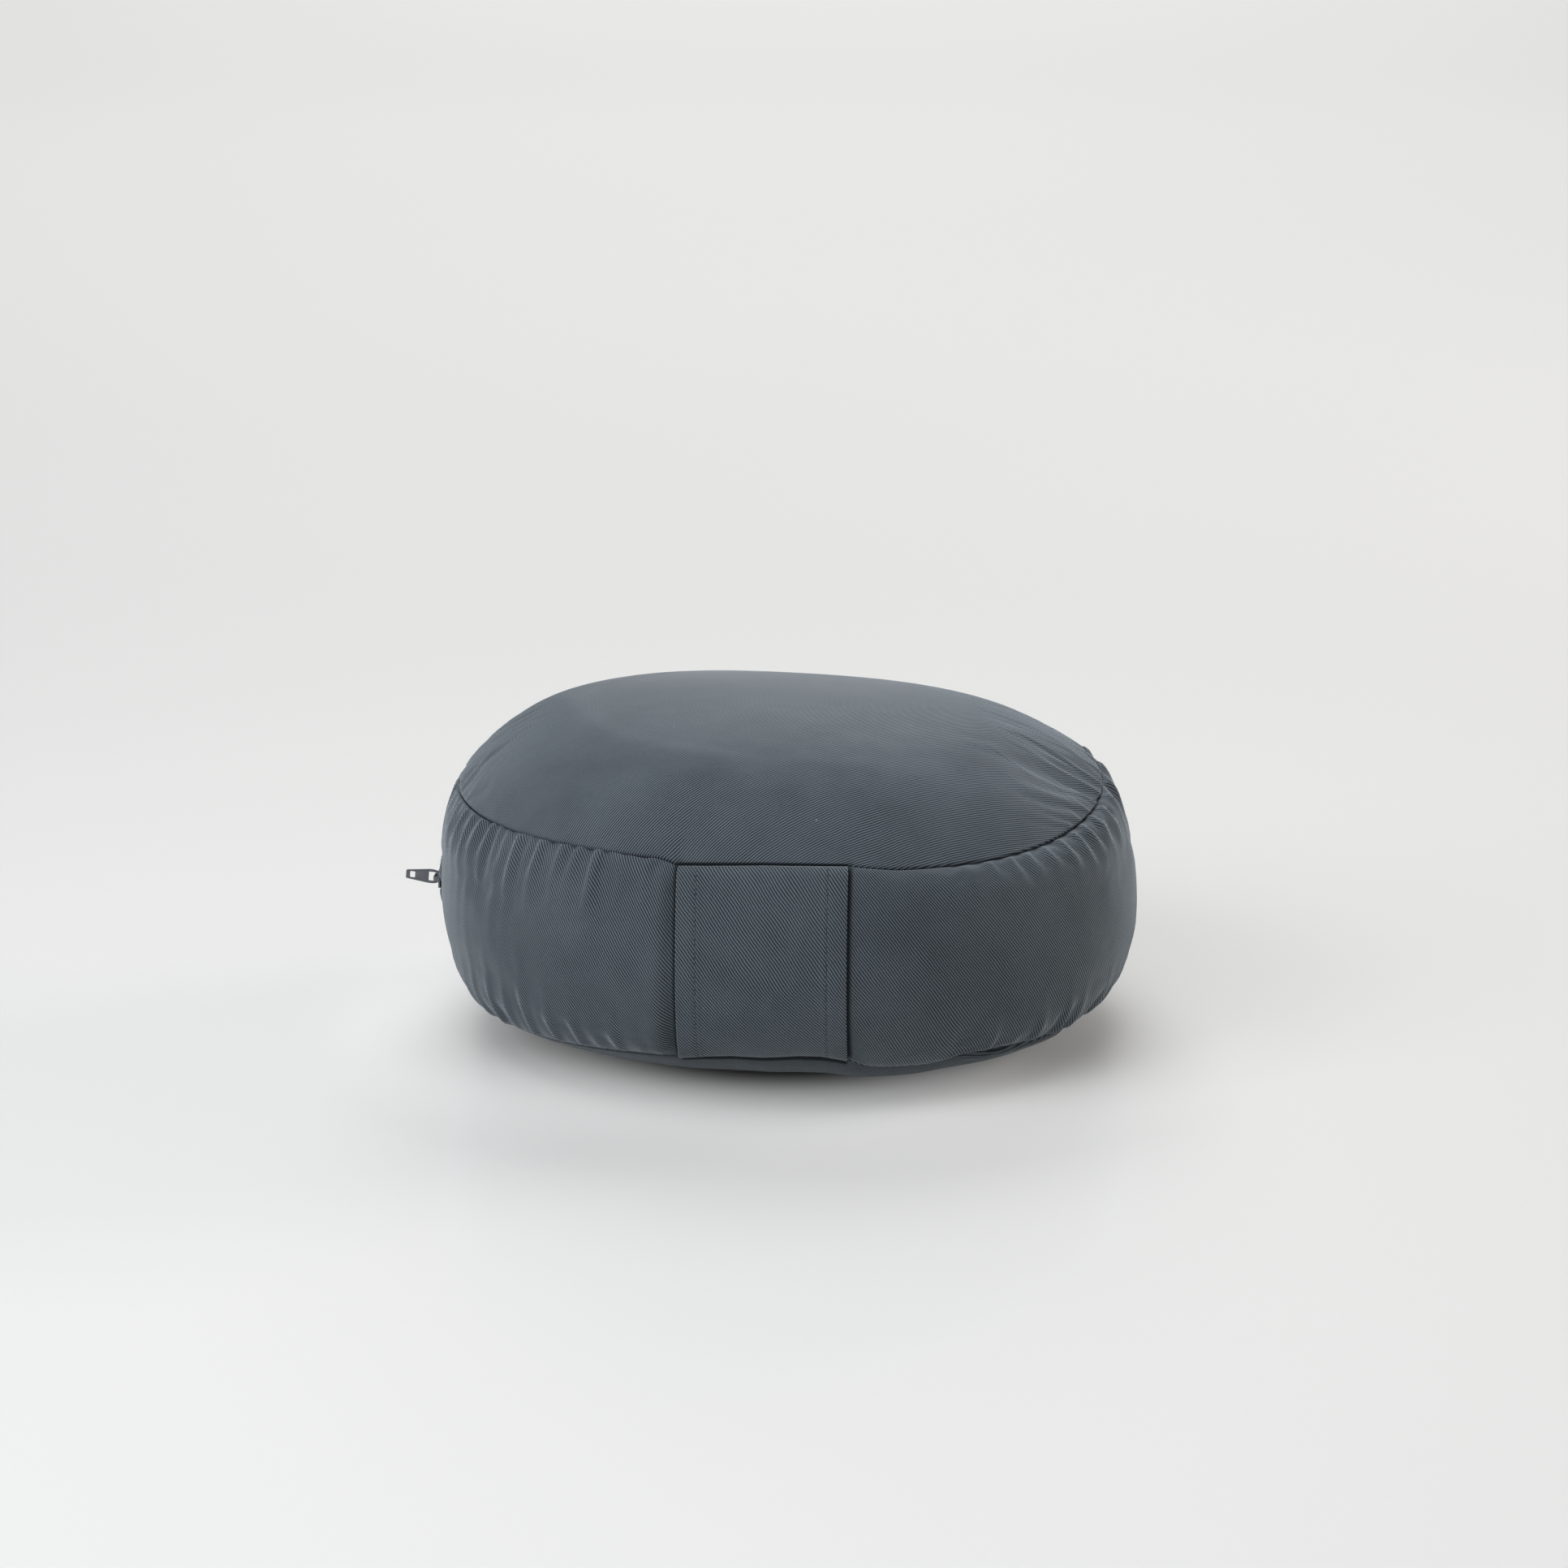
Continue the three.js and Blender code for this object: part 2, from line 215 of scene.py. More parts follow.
def mesh_object(name, points, faces, material):
    """A smooth-shaded mesh object in the scene."""
    mesh = bpy.data.meshes.new(name)
    mesh.from_pydata(points, [], faces)
    mesh.materials.append(material)
    mesh.shade_smooth()
    return in_scene(name, mesh)


def acrylic_floor():
    finish = Finish("acrylic_floor")
    place = finish.object_place()
    cloud = finish.noise(place, FLOOR_CLOUD_SCALE)
    # Painted light: the emission below brightens the floor in front of the cushion and far off, and is left
    # out at the cushion's foot.
    length = {"operation": "LENGTH"}
    from_middle = finish.node("ShaderNodeVectorMath", length, {0: place}, output="Value")
    forward = -1 * finish.axis(place, 1) / from_middle
    around = GLOW_SIDE + (GLOW_FRONT - GLOW_SIDE) * forward.between(*FLOOR_FRONT)
    near = 1 - from_middle.between(*FLOOR_NEAR)
    glow = from_middle.between(*FLOOR_FOOT) * (GLOW_LEAST + (around - GLOW_LEAST) * near)
    glow = glow + (1 - GLOW_LEAST) * from_middle.between(*FLOOR_FAR)
    shader = finish.shader(
        Base_Color=FLOOR_COLOUR,
        Roughness=FLOOR_ROUGHNESS + FLOOR_CLOUD * (cloud - 0.5),
        IOR=FLOOR_IOR,
        Emission_Color=finish.mix(glow, (0, 0, 0), FLOOR_COLOUR),
        Emission_Strength=FLOOR_GLOW,
    )
    return finish.surface(shader)


half_floor = FLOOR_SIDE / 2
floor_corners = [(x * half_floor, y * half_floor, 0) for x, y in ((-1, -1), (1, -1), (1, 1), (-1, 1))]
floor = mesh_object("floor", floor_corners, [(0, 1, 2, 3)], acrylic_floor())

room = bpy.data.worlds.new("room")
room.use_nodes = True
room.node_tree.nodes["Background"].inputs["Color"].default_value = (*ROOM_COLOUR, 1)
room.node_tree.nodes["Background"].inputs["Strength"].default_value = ROOM_STRENGTH
scene.world = room
scene.view_settings.view_transform = "Standard"


def soft_light(name, place, side, watts, colour):
    """A square light at a place, turned to the cushion."""
    panel = bpy.data.lights.new(name, "AREA")
    panel.size = side
    panel.energy = watts
    panel.color = colour
    lamp = in_scene(name, panel)
    lamp.location = place
    lamp.rotation_euler = lamp.location.to_track_quat("Z", "Y").to_euler()
    lamp.visible_glossy = False
    lamp.visible_camera = False


soft_light("front_panel", (-0.5, -1.9, 2.1), 2.2, 25, (0.98, 0.99, 1.0))
soft_light("left_panel", (-1.9, -1.5, 1.6), 1.6, 28, (0.94, 0.98, 1.0))
soft_light("overhead_panel", (-0.3, -0.1, 2.6), 2.4, 28, (0.98, 0.99, 1.0))
soft_light("high_back_panel", (-0.2, 1.8, 2.3), 2.0, 36, (0.98, 0.99, 1.0))
soft_light("back_panel", (-0.4, 5.2, 3.0), 3.2, 104, (1.0, 1.0, 1.0))
soft_light("low_back_panel", (-0.4, 7.0, 1.5), 2.4, 64, (1.0, 1.0, 1.0))
soft_light("right_panel", (2.4, 1.4, 0.6), 1.0, 38, (1.0, 0.91, 0.82))

# Cover. A round top panel, a round base panel and a straight band of slate cotton twill. The
# band is cut longer than the panels' edges and gathered into both ring seams, all but in front,
# and the filling presses it out between them. Lengths in its tables are in millimetres.
MM = 0.001
COVER_COLUMNS = 720
BELLY_RADIUS = 181
BELLY_HEIGHT = 69
TOP_SEAM_RADIUS = 166
TOP_SEAM_HEIGHT = 126.5
CROWN_RISE = 46
CROWN_DOME = 0.4
CROWN_POWER = 6.4
CROWN_LEAN = 6
BAND_BULGE_POWER = 0.65
BASE_SEAM_RADIUS = 162.5
BASE_SEAM_HEIGHT = 21
BASE_SLOPE_SHARE = 0.68
BASE_SLOPE_POWER = 1.1
BASE_RIM_POWER = 8
REST_RADIUS = 92
REST_RINGS = (0, 0.35, 0.7)
FULL_SIDE = -86
# How rows of points are spaced: the whole length, the first step, the largest step and its growth.
CROWN_STEPS = (185, 1.0, 6.0, 1.09)
UPPER_BAND_STEPS = (64, 0.9, 2.8, 1.08)
LOWER_BAND_STEPS = (54, 0.9, 2.8, 1.08)
BASE_STEPS = (75, 1.0, 6.0, 1.15)
TINY = 1e-9

turns = np.linspace(-np.pi, np.pi, COVER_COLUMNS, endpoint=False)
turn_degrees = np.degrees(turns)
even = np.linspace(0, 1, 400)


def ring(mean, *waves):
    """A size at each turn round the cushion: its mean and its (order, swing, peak) waves."""
    size = np.full(COVER_COLUMNS, float(mean))
    for order, swing, peak in waves:
        size += swing * np.cos(order * (turns - math.radians(peak)))
    return size


top_radius = ring(TOP_SEAM_RADIUS, (1, 4.2, FULL_SIDE))
top_height = ring(TOP_SEAM_HEIGHT, (2, 3.6, -64), (3, 3.2, -3))
crown_power = ring(CROWN_POWER, (1, 1.8, FULL_SIDE), (2, 0.7, 90))
belly_radius = ring(BELLY_RADIUS, (2, 0.8, 20), (3, 0.6, -40))
belly_height = ring(BELLY_HEIGHT, (1, 4.5, FULL_SIDE))
base_radius = ring(BASE_SEAM_RADIUS, (2, 3.5, 0), (4, 3.0, 45))
base_height = ring(BASE_SEAM_HEIGHT, (1, 4.0, 0), (2, 2.0, 0), (3, 0.7, 0))
base_slope_share = ring(BASE_SLOPE_SHARE, (1, 0.2, -75))

# Just right of the strap the band rolls softly under, and the base seam lies lower and further in.
SOFT_ROLL = (25, 9)
SOFT_ROLL_DROP = 5.5
SOFT_ROLL_INSET = 5

soft_roll = np.exp(-(((turn_degrees - SOFT_ROLL[0]) / SOFT_ROLL[1]) ** 4))
base_height -= SOFT_ROLL_DROP * soft_roll
base_radius -= SOFT_ROLL_INSET * soft_roll

# The strap's ends draw both seams with them: turns, and how far down or up the seam is drawn.
TOP_SEAM_DROP = [
    (-18, 0), (-16, 1.1), (-14.6, 2.7), (-7.3, 0.9), (0.3, -0.7), (7.4, -1.4), (14.6, -1.6), (18, -0.6),
    (23, 0.4), (32, 0),
]
BASE_SEAM_LIFT = [
    (-16, 0), (-11, 1.6), (-5.4, 2.7), (0.3, 2.3), (6, 3.5), (10.2, 3.2), (14.5, 1.4), (18, 0),
]
SEAM_DROP_POWER = 10

top_seam_drop = np.interp(turn_degrees, *zip(*TOP_SEAM_DROP))
base_height += np.interp(turn_degrees, *zip(*BASE_SEAM_LIFT))


def smooth(low, high, value):
    """0 up to low, 1 from high, and a smooth rise between them."""
    share = np.clip((value - low) / (high - low), 0, 1)
    return share * share * (3 - 2 * share)


def growing_steps(length, first, largest, growth):
    """Places from 0 to length whose spacing grows from first to largest."""
    places = [0.0]
    step = first
    while places[-1] < length:
        places.append(places[-1] + step)
        step = min(step * growth, largest)
    return np.array(places) * (length / places[-1])


def shares_by_length(curve, steps):
    """The shares of a curve, given as points at even shares, that lie at these lengths along it."""
    lengths = np.concatenate([[0], np.cumsum(np.hypot(*np.diff(curve, axis=1)))])
    return np.interp(steps * lengths[-1] / steps[-1], lengths, even)


def placed(radius, height):
    """Rows of points at each turn, from rows of radii and heights."""
    return np.stack([radius * np.sin(turns), -radius * np.cos(turns), height], axis=-1)


def crown_fall(share, power):
    """How far the crown has fallen, of its rise: a low dome with a steep shoulder."""
    return CROWN_DOME * share**2 + (1 - CROWN_DOME) * share**power


def crown_rows():
    """The top panel from its seam to its middle."""
    curve = np.stack([TOP_SEAM_RADIUS * (1 - even), -CROWN_RISE * crown_fall(1 - even, CROWN_POWER)])
    share = 1 - shares_by_length(curve, growing_steps(*CROWN_STEPS))[:, None]
    lean = CROWN_LEAN * np.cos(turns - math.radians(FULL_SIDE)) * share * (1 - share**4)
    rim = TOP_SEAM_HEIGHT + (top_height - TOP_SEAM_HEIGHT) * share**2
    rim = rim - top_seam_drop * share**SEAM_DROP_POWER
    return placed(top_radius * share, rim + CROWN_RISE * (1 - crown_fall(share, crown_power)) + lean)


def band_half(seam_radius, seam_height, steps):
    """Radii and heights of half the band, which swells out from a seam to its belly."""
    rise = abs(np.mean(seam_height - belly_height))
    swell = np.mean(belly_radius - seam_radius)
    bulge = np.sin(even * np.pi / 2) ** (2 * BAND_BULGE_POWER)
    curve = np.stack([swell * bulge, rise * (1 - np.cos(even * np.pi / 2))])
    angle = shares_by_length(curve, steps)[:, None] * np.pi / 2
    radius = seam_radius + (belly_radius - seam_radius) * np.sin(angle) ** (2 * BAND_BULGE_POWER)
    return radius, belly_height + (seam_height - belly_height) * np.cos(angle)


def band_rows():
    """The band from the base seam up to the top seam."""
    lower = band_half(base_radius, base_height, growing_steps(*LOWER_BAND_STEPS))
    upper = band_half(top_radius, top_height - top_seam_drop, growing_steps(*UPPER_BAND_STEPS))
    return placed(*(np.concatenate([low, high[-2::-1]]) for low, high in zip(lower, upper)))


def base_rows():
    """The base panel from its middle, flat on the floor, to the base seam."""
    flat = np.array(REST_RINGS)[:, None] * REST_RADIUS * np.ones(COVER_COLUMNS)
    steps = growing_steps(*BASE_STEPS)
    along = 1 - steps[::-1, None] / steps[-1]
    radius = REST_RADIUS + (base_radius - REST_RADIUS) * along
    slope = base_slope_share * along**BASE_SLOPE_POWER
    height = base_height * (slope + (1 - base_slope_share) * along**BASE_RIM_POWER)
    return placed(np.concatenate([flat, radius]), np.concatenate([flat * 0, height]))


def outward(rows):
    """Unit normals of rows of points that run up the cushion."""
    across = np.roll(rows, -1, axis=1) - np.roll(rows, 1, axis=1)
    normal = np.cross(across, np.gradient(rows, axis=0))
    return normal / np.maximum(np.linalg.norm(normal, axis=-1, keepdims=True), TINY)


def from_first(rows):
    """How far each point lies from the first row, along its column."""
    steps = np.linalg.norm(np.diff(rows, axis=0), axis=-1)
    return np.concatenate([np.zeros((1, rows.shape[1])), np.cumsum(steps, axis=0)])


plain_crown = crown_rows()
plain_band = band_rows()
plain_base = base_rows()
below_top_seam = from_first(plain_band[::-1])[::-1]
above_base_seam = from_first(plain_band)

# Folds where the cloth is gathered into a seam: turn, height of the ridge, its half width, how
# far it runs from the seam, and how far its end has leaned along the seam.
TOP_FOLDS = [
    (-79, 1.0, 2.8, 30, -3), (-73.4, 1.2, 2.6, 34, -3), (-68.4, 1.5, 2.3, 34, -4), (-64.1, 1.8, 2.2, 40, -5),
    (-60.2, 1.6, 2.2, 32, -5), (-56.4, 1.7, 2.0, 38, -4), (-53.4, 1.1, 1.9, 24, -3),
    (-47, 2.5, 2.4, 42, -5), (-44.2, 1.5, 1.8, 20, -3), (-41.3, 2.4, 2.3, 30, -4),
    (-36.4, 1.9, 2.0, 28, -3), (-33.4, 1.6, 2.0, 26, -3), (-29.2, 2.4, 2.3, 38, -2),
    (-24, 0.8, 2.4, 22, -1), (-19.4, 1.6, 2.4, 40, 1), (36, 0.8, 2.6, 16, 2),
    (41, 1.0, 2.4, 18, 3), (45.6, 1.2, 2.4, 20, 3), (50, 1.2, 2.4, 20, 3), (54.6, 1.4, 2.2, 20, 3),
    (59.6, 1.8, 2.2, 22, 3), (64.4, 2.0, 2.1, 24, 3), (68.6, 1.9, 2.1, 22, 3), (73.6, 1.8, 2.2, 24, 3),
    (79, 1.4, 2.4, 26, 2), (85.4, 1.4, 2.8, 30, 2), (93, 2.0, 3.2, 40, 0),
]
BASE_FOLDS = [
    (-71, 1.2, 2.8, 26, 0), (-66, 1.4, 2.4, 32, 0), (-60.5, 1.6, 2.2, 36, 0), (-54, 1.9, 2.2, 38, 0),
    (-49, 1.5, 2.0, 34, -1), (-43.6, 2.1, 2.2, 44, -1), (-37.9, 2.1, 2.1, 34, -1), (-32.6, 1.9, 2.1, 30, -1),
    (-29, 1.3, 2.0, 20, -1), (-25, 2.0, 2.1, 32, -1), (-20.6, 1.1, 2.2, 18, -1),
    (39.8, 2.3, 2.3, 32, 0), (45, 1.2, 2.2, 20, 0), (50.4, 2.1, 2.1, 30, 0), (57, 2.5, 2.1, 34, 0),
    (61.4, 2.2, 2.0, 34, 0), (66, 1.6, 2.0, 28, 0), (71, 2.1, 2.2, 34, 0), (75.8, 1.9, 2.2, 36, 0),
    (81, 1.4, 2.6, 30, 0),
]
CROWN_FOLDS = [
    (66, 0.8, 2.2, 10, 0), (70, 1.0, 2.2, 14, 0), (75, 1.2, 2.2, 18, 0), (80, 1.4, 2.1, 22, 0),
    (85, 1.4, 2.2, 22, 0), (90, 1.2, 2.2, 22, 0), (96, 1.0, 2.4, 20, 0), (103, 0.8, 2.6, 18, 0),
    (112, 0.6, 3.0, 16, 0), (-72, 0.5, 2.8, 18, 0), (-79, 0.6, 2.8, 20, 0), (-86, 0.7, 3.0, 20, 0),
    (-95, 0.7, 3.0, 18, 0),
]
# Longer and softer folds that the filling leaves standing.
LONG_TOP_FOLDS = [
    (-68.4, 0.4, 3.2, 60, -4), (-64.1, 0.6, 3.0, 76, -5), (-60.2, 0.5, 3.2, 92, -5),
    (-56.4, 0.7, 2.8, 64, -4), (-51, 0.7, 3.0, 84, -4), (-47, 1.4, 2.5, 64, -5),
    (-41.3, 1.1, 2.3, 46, -4), (-36.4, 0.9, 2.1, 40, -3),
    (-33.4, 0.8, 2.1, 38, -3), (-29.2, 1.4, 2.4, 54, -2), (-19.4, 0.9, 2.4, 46, 1), (46, 0.4, 2.4, 30, 2),
    (50, 0.4, 2.4, 30, 2), (54.6, 0.5, 2.3, 30, 3), (59.6, 0.6, 2.3, 34, 4), (64.4, 0.7, 2.2, 36, 4),
    (68.6, 0.6, 2.2, 36, 4), (73.6, 0.6, 2.4, 40, 4), (79, 0.5, 2.6, 44, 3), (85.4, 0.6, 3.0, 50, 2),
]
LONG_BASE_FOLDS = [
    (-66, 0.9, 2.6, 50, 0), (-60.5, 1.1, 2.4, 58, 0), (-54, 1.2, 2.4, 60, -1), (-49, 1.0, 2.2, 50, -1),
    (-43.6, 1.3, 2.4, 66, -2), (-37.9, 1.3, 2.2, 50, -2), (-32.6, 1.2, 2.2, 44, -2), (-25, 1.2, 2.2, 44, -2),
    (39.8, 1.0, 2.2, 38, 0), (50.4, 1.0, 2.1, 36, 0), (57, 1.3, 2.1, 40, 0), (61.4, 1.1, 2.0, 40, 0),
    (71, 1.0, 2.2, 44, 0), (75.8, 0.9, 2.2, 44, 0), (81, 0.8, 2.8, 42, 0),
]
FOLD_SHOULDER = 2.5
BASE_FOLD_SHOULDER = 7
FOLD_FADE = 0.25
FOLD_SPREAD = 0.9
HOLLOW_WIDTH = 2.2
HOLLOW_DEPTH = 0.35
BACK_FOLD_SEED = 7


def back_folds(first, last, count, lean_way):
    """Folds round the back, which lie much as they do at the sides."""
    chance = np.random.default_rng(BACK_FOLD_SEED + count)
    spacing = (last - first) / count
    return [
        (
            first + (index + chance.uniform(0.2, 0.8)) * spacing,
            chance.uniform(1.1, 2.1),
            chance.uniform(2.4, 3.4),
            chance.uniform(20, 42),
            lean_way * chance.uniform(-1, 5),
        )
        for index in range(count)
    ]


def degrees_from(turn):
    """How far each column lies from a turn, the short way round."""
    return (turn_degrees - turn + 180) % 360 - 180


def fold_heights(folds, distance, radius, shoulder=FOLD_SHOULDER):
    """How far the folds of one seam stand out, at these distances from it."""
    height = np.zeros_like(distance)
    for turn, ridge, half_width, reach, lean in folds:
        across = np.radians(degrees_from(turn)) * radius - lean * distance / reach
        run = smooth(0, shoulder, distance) * (1 - smooth(FOLD_FADE * reach, reach, distance))
        spread = half_width * (1 + FOLD_SPREAD * distance / reach)
        crest = np.exp(-((across / spread) ** 2))
        hollow = np.exp(-((across / (HOLLOW_WIDTH * spread)) ** 2))
        height += ridge * run * (crest - HOLLOW_DEPTH * hollow)
    return height


# Left of the strap the band tucks in behind its edge, with a soft roll beside the tuck: turn,
# height and half width of each. Both fade out towards the seams and drift sideways at their foot.
TUCK = (-13.7, -3.6, 1.5)
TUCK_ROLL = (-17.0, 1.4, 1.7)
TUCK_HEAD = 12
TUCK_FOOT = 9
TUCK_DRIFT = -1.3
TUCK_DRIFT_REACH = 40


def beside_strap():
    """How far the tuck and its roll move the band in and out."""
    ends = smooth(0, TUCK_HEAD, below_top_seam) * smooth(0, TUCK_FOOT, above_base_seam)
    drift = TUCK_DRIFT * (1 - smooth(0, TUCK_DRIFT_REACH, above_base_seam))
    lift = 0
    for turn, depth, spread in (TUCK, TUCK_ROLL):
        lift = lift + depth * np.exp(-(((degrees_from(turn) - drift) / spread) ** 2))
    return lift * ends


def lifted(rows, lift):
    """Rows of points moved out from the cushion by these heights."""
    return rows + outward(rows) * lift[..., None]


band_radius = np.hypot(plain_band[..., 0], plain_band[..., 1])
band_lift = fold_heights(TOP_FOLDS + back_folds(89, 282, 40, 1), below_top_seam, band_radius)
base_folds = BASE_FOLDS + back_folds(86, 286, 42, -1)
band_lift += fold_heights(base_folds, above_base_seam, band_radius, BASE_FOLD_SHOULDER)
band = lifted(plain_band, band_lift + beside_strap())
crown_radius = np.hypot(plain_crown[..., 0], plain_crown[..., 1])
crown = lifted(plain_crown, fold_heights(CROWN_FOLDS, from_first(plain_crown), crown_radius))

# The thread draws both seams in, the base seam less at the soft roll and more beyond it, where
# the base panel's edge swells to a rim.
SEAM_SINK = 1.4
ROLL_SINK_LESS = 0.8
RIM_SINK_MORE = 0.6
RIM_SPAN = (35, 40, 62, 70)
RIM_RISE = 1.8
RIM_WIDTH = 8

rim_share = smooth(*RIM_SPAN[:2], turn_degrees) * (1 - smooth(*RIM_SPAN[2:], turn_degrees))
rim_place = np.clip(from_first(plain_base[::-1])[::-1] / RIM_WIDTH, 0, 1)
base = lifted(plain_base, RIM_RISE * rim_share * np.sin(np.pi * rim_place))
band_outward = outward(plain_band)
base_seam_sink = 1 - ROLL_SINK_LESS * soft_roll + RIM_SINK_MORE * rim_share
band[0] -= SEAM_SINK * (base_seam_sink[:, None] * band_outward[0])
band[-1] -= SEAM_SINK * outward(plain_crown)[0]
base[-1] = band[0]
crown[0] = band[-1]


def corners(grid):
    """What a grid holds at the four corners of each of its cells."""
    return np.stack([grid[:-1, :-1], grid[:-1, 1:], grid[1:, 1:], grid[1:, :-1]], axis=2)


def ring_indices(rows, columns):
    """Point indices of rows that close into rings, with each row's first point again at its end."""
    return np.arange(rows)[:, None] * columns + np.arange(columns + 1) % columns


def grid_faces(rows, columns):
    """Quads between rows of points that close into rings, as corner indices."""
    return corners(ring_indices(rows, columns)).reshape(-1, 4).tolist()


# The filling presses the cloth out while the seams hold it. Near a seam the cloth is cut larger
# by the ease that is gathered in there, shared out round the cushion by these turns.
SEAM_EASE = 0.045
EASE_NEAR = 5
EASE_REACH = 38
TOP_EASE = [
    (-180, 0.7), (-86, 0.8), (-30, 0.75), (-17, 0.2), (-13, 0), (26, 0), (45, 0.55), (90, 0.75), (180, 0.7),
]
BASE_EASE = [
    (-180, 0.6), (-80, 0.4), (-30, 0.45), (-17, 0.2), (-13, 0), (33, 0), (42, 0.5), (90, 0.55), (180, 0.6),
]
CROWN_EASE = [(-180, 0), (-112, 0), (-88, 0.4), (-66, 0), (60, 0), (86, 0.5), (118, 0.2), (136, 0), (180, 0)]
EASE_LEVELS = 20
CROWN_FREE_RADIUS = 95
FILLING_PRESSURE = 3
CLOTH_FRAMES = 20
CLOTH_CAP = 6


def eased(stops, distance):
    """The share of the seam's ease that each point holds."""
    by_turn = np.interp(turn_degrees, *zip(*stops))
    return by_turn * (1 - smooth(EASE_NEAR, EASE_REACH, distance))


def pressed_out(name, rows, ease):
    """The rows after a short cloth simulation with their first and last ring held."""
    mesh = bpy.data.meshes.new(name)
    faces = grid_faces(len(rows), COVER_COLUMNS)
    mesh.from_pydata((rows.reshape(-1, 3) * MM).tolist(), [], faces)
    cloth = in_scene(name, mesh)
    held = cloth.vertex_groups.new(name="held")
    last = (len(rows) - 1) * COVER_COLUMNS
    held.add([*range(COVER_COLUMNS), *range(last, last + COVER_COLUMNS)], 1, "REPLACE")
    taut = cloth.vertex_groups.new(name="taut")
    levels = np.round(ease.ravel() * EASE_LEVELS)
    for level in range(EASE_LEVELS + 1):
        taut.add(np.nonzero(levels == level)[0].tolist(), 1 - level / EASE_LEVELS, "REPLACE")
    modifier = cloth.modifiers.new("cloth", "CLOTH")
    modifier.collision_settings.use_collision = False
    modifier.point_cache.frame_end = CLOTH_FRAMES
    settings = modifier.settings
    settings.quality = 4
    settings.mass = 0.002
    settings.tension_stiffness = 40
    settings.compression_stiffness = 40
    settings.shear_stiffness = 10
    settings.bending_stiffness = 0.2
    settings.tension_damping = 1
    settings.compression_damping = 1
    settings.shear_damping = 1
    settings.effector_weights.gravity = 0
    settings.use_pressure = True
    settings.uniform_pressure_force = FILLING_PRESSURE
    settings.vertex_group_mass = "held"
    settings.vertex_group_shrink = "taut"
    settings.shrink_min = -SEAM_EASE
    settings.shrink_max = 0
    for step in range(1, CLOTH_FRAMES + 1):
        scene.frame_set(step)
    settled = cloth.evaluated_get(bpy.context.evaluated_depsgraph_get()).to_mesh()
    places = np.empty(rows.size)
    settled.vertices.foreach_get("co", places)
    bpy.data.objects.remove(cloth)
    scene.frame_set(1)
    moved = places.reshape(rows.shape) / MM - rows
    far = np.linalg.norm(moved, axis=-1, keepdims=True)
    return rows + moved * np.minimum(1, CLOTH_CAP / np.maximum(far, TINY))


band_ease = np.maximum(eased(TOP_EASE, below_top_seam), eased(BASE_EASE, above_base_seam))
band = pressed_out("band_cloth", band, band_ease)
free = int(np.sum(crown_radius[:, 0] > CROWN_FREE_RADIUS))
crown_ease = eased(CROWN_EASE, from_first(plain_crown))[:free]
crown[:free] = pressed_out("crown_cloth", crown[:free], crown_ease)

long_folds = fold_heights(LONG_TOP_FOLDS, below_top_seam, band_radius)
long_folds += fold_heights(LONG_BASE_FOLDS, above_base_seam, band_radius, BASE_FOLD_SHOULDER)
band = lifted(band, long_folds)
between_neighbours = (np.roll(band, 1, axis=1) + np.roll(band, -1, axis=1)) / 2
band[1:-1] = (band[1:-1] + between_neighbours[1:-1]) / 2

# The zip's stiff tape keeps the band smooth along its line, from the left side round the back.
ZIP_HEIGHT = 73
ZIP_START = -88
ZIP_END = -250
ZIP_BED = -0.5
ZIP_HOLD = (10, 24)
ZIP_HOLD_END = (2, 9)

zip_span = ZIP_START - ZIP_END
past_zip = np.abs(degrees_from((ZIP_START + ZIP_END) / 2)) - zip_span / 2
from_zip_line = np.abs(plain_band[..., 2] - ZIP_HEIGHT)
zip_hold = (1 - smooth(*ZIP_HOLD, from_zip_line)) * (1 - smooth(*ZIP_HOLD_END, past_zip))
zip_bed = lifted(plain_band, np.full_like(from_zip_line, ZIP_BED))
band += zip_hold[..., None] * (zip_bed - band)

# The weave. On the band its lines fall to the right, on the round panels they rise to the
# right. A panel's weave map holds the place across and along its lines, in metres.
BAND_LINE_ANGLE = math.radians(-54)
PANEL_LINE_ANGLE = math.radians(42)
TWILL_PITCH = 0.00134
LINE_WANDER = 1.3
LINE_SWAY = 9
FLOAT_PITCHES = 1.1
FLOAT_SKEW = 1.05
TONE_RIDGE = 0.62
TONE_FLOATS = 0.14
TONE_YARN = 0.24
TONE_CLOUD = 0.30
TONE_WORN = 0.16
TONE_RANGE = (0.12, 0.88)
RELIEF_RIDGE = 0.75
RELIEF_FLOATS = 0.25
RELIEF_YARN = 0.45
RELIEF_DEPTH = 0.00022
LINT_SCALE = 75.0
LINT_SIZE = 0.034
LINT_RARITY = 0.80
LINT_COVER = 0.5
TWILL_DARK = (0.016, 0.022, 0.028)
TWILL_LIGHT = (0.142, 0.167, 0.191)
PAINTED_SHADE_COLOUR = (0.006, 0.008, 0.010)
LINT_COLOUR = (0.42, 0.43, 0.42)
NAP_TINT = (0.62, 0.68, 0.74)


def weave_map(across_cloth, up_cloth, line_angle):
    """Places across and along the twill lines, from places on the flat cloth."""
    across = up_cloth * math.cos(line_angle) - across_cloth * math.sin(line_angle)
    along = across_cloth * math.cos(line_angle) + up_cloth * math.sin(line_angle)
    return np.stack([across, along], axis=-1) * MM


closed_turns = np.append(turns, np.pi)


def band_weave():
    up = np.mean(above_base_seam, axis=1)[:, None] + 0 * closed_turns
    return weave_map(BELLY_RADIUS * closed_turns + 0 * up, up, BAND_LINE_ANGLE)


def round_weave(rows):
    """The weave of a round panel, laid flat by its length from the middle."""
    length = np.mean(from_first(rows), axis=1)[:, None]
    return weave_map(length * np.sin(closed_turns), -length * np.cos(closed_turns), PANEL_LINE_ANGLE)
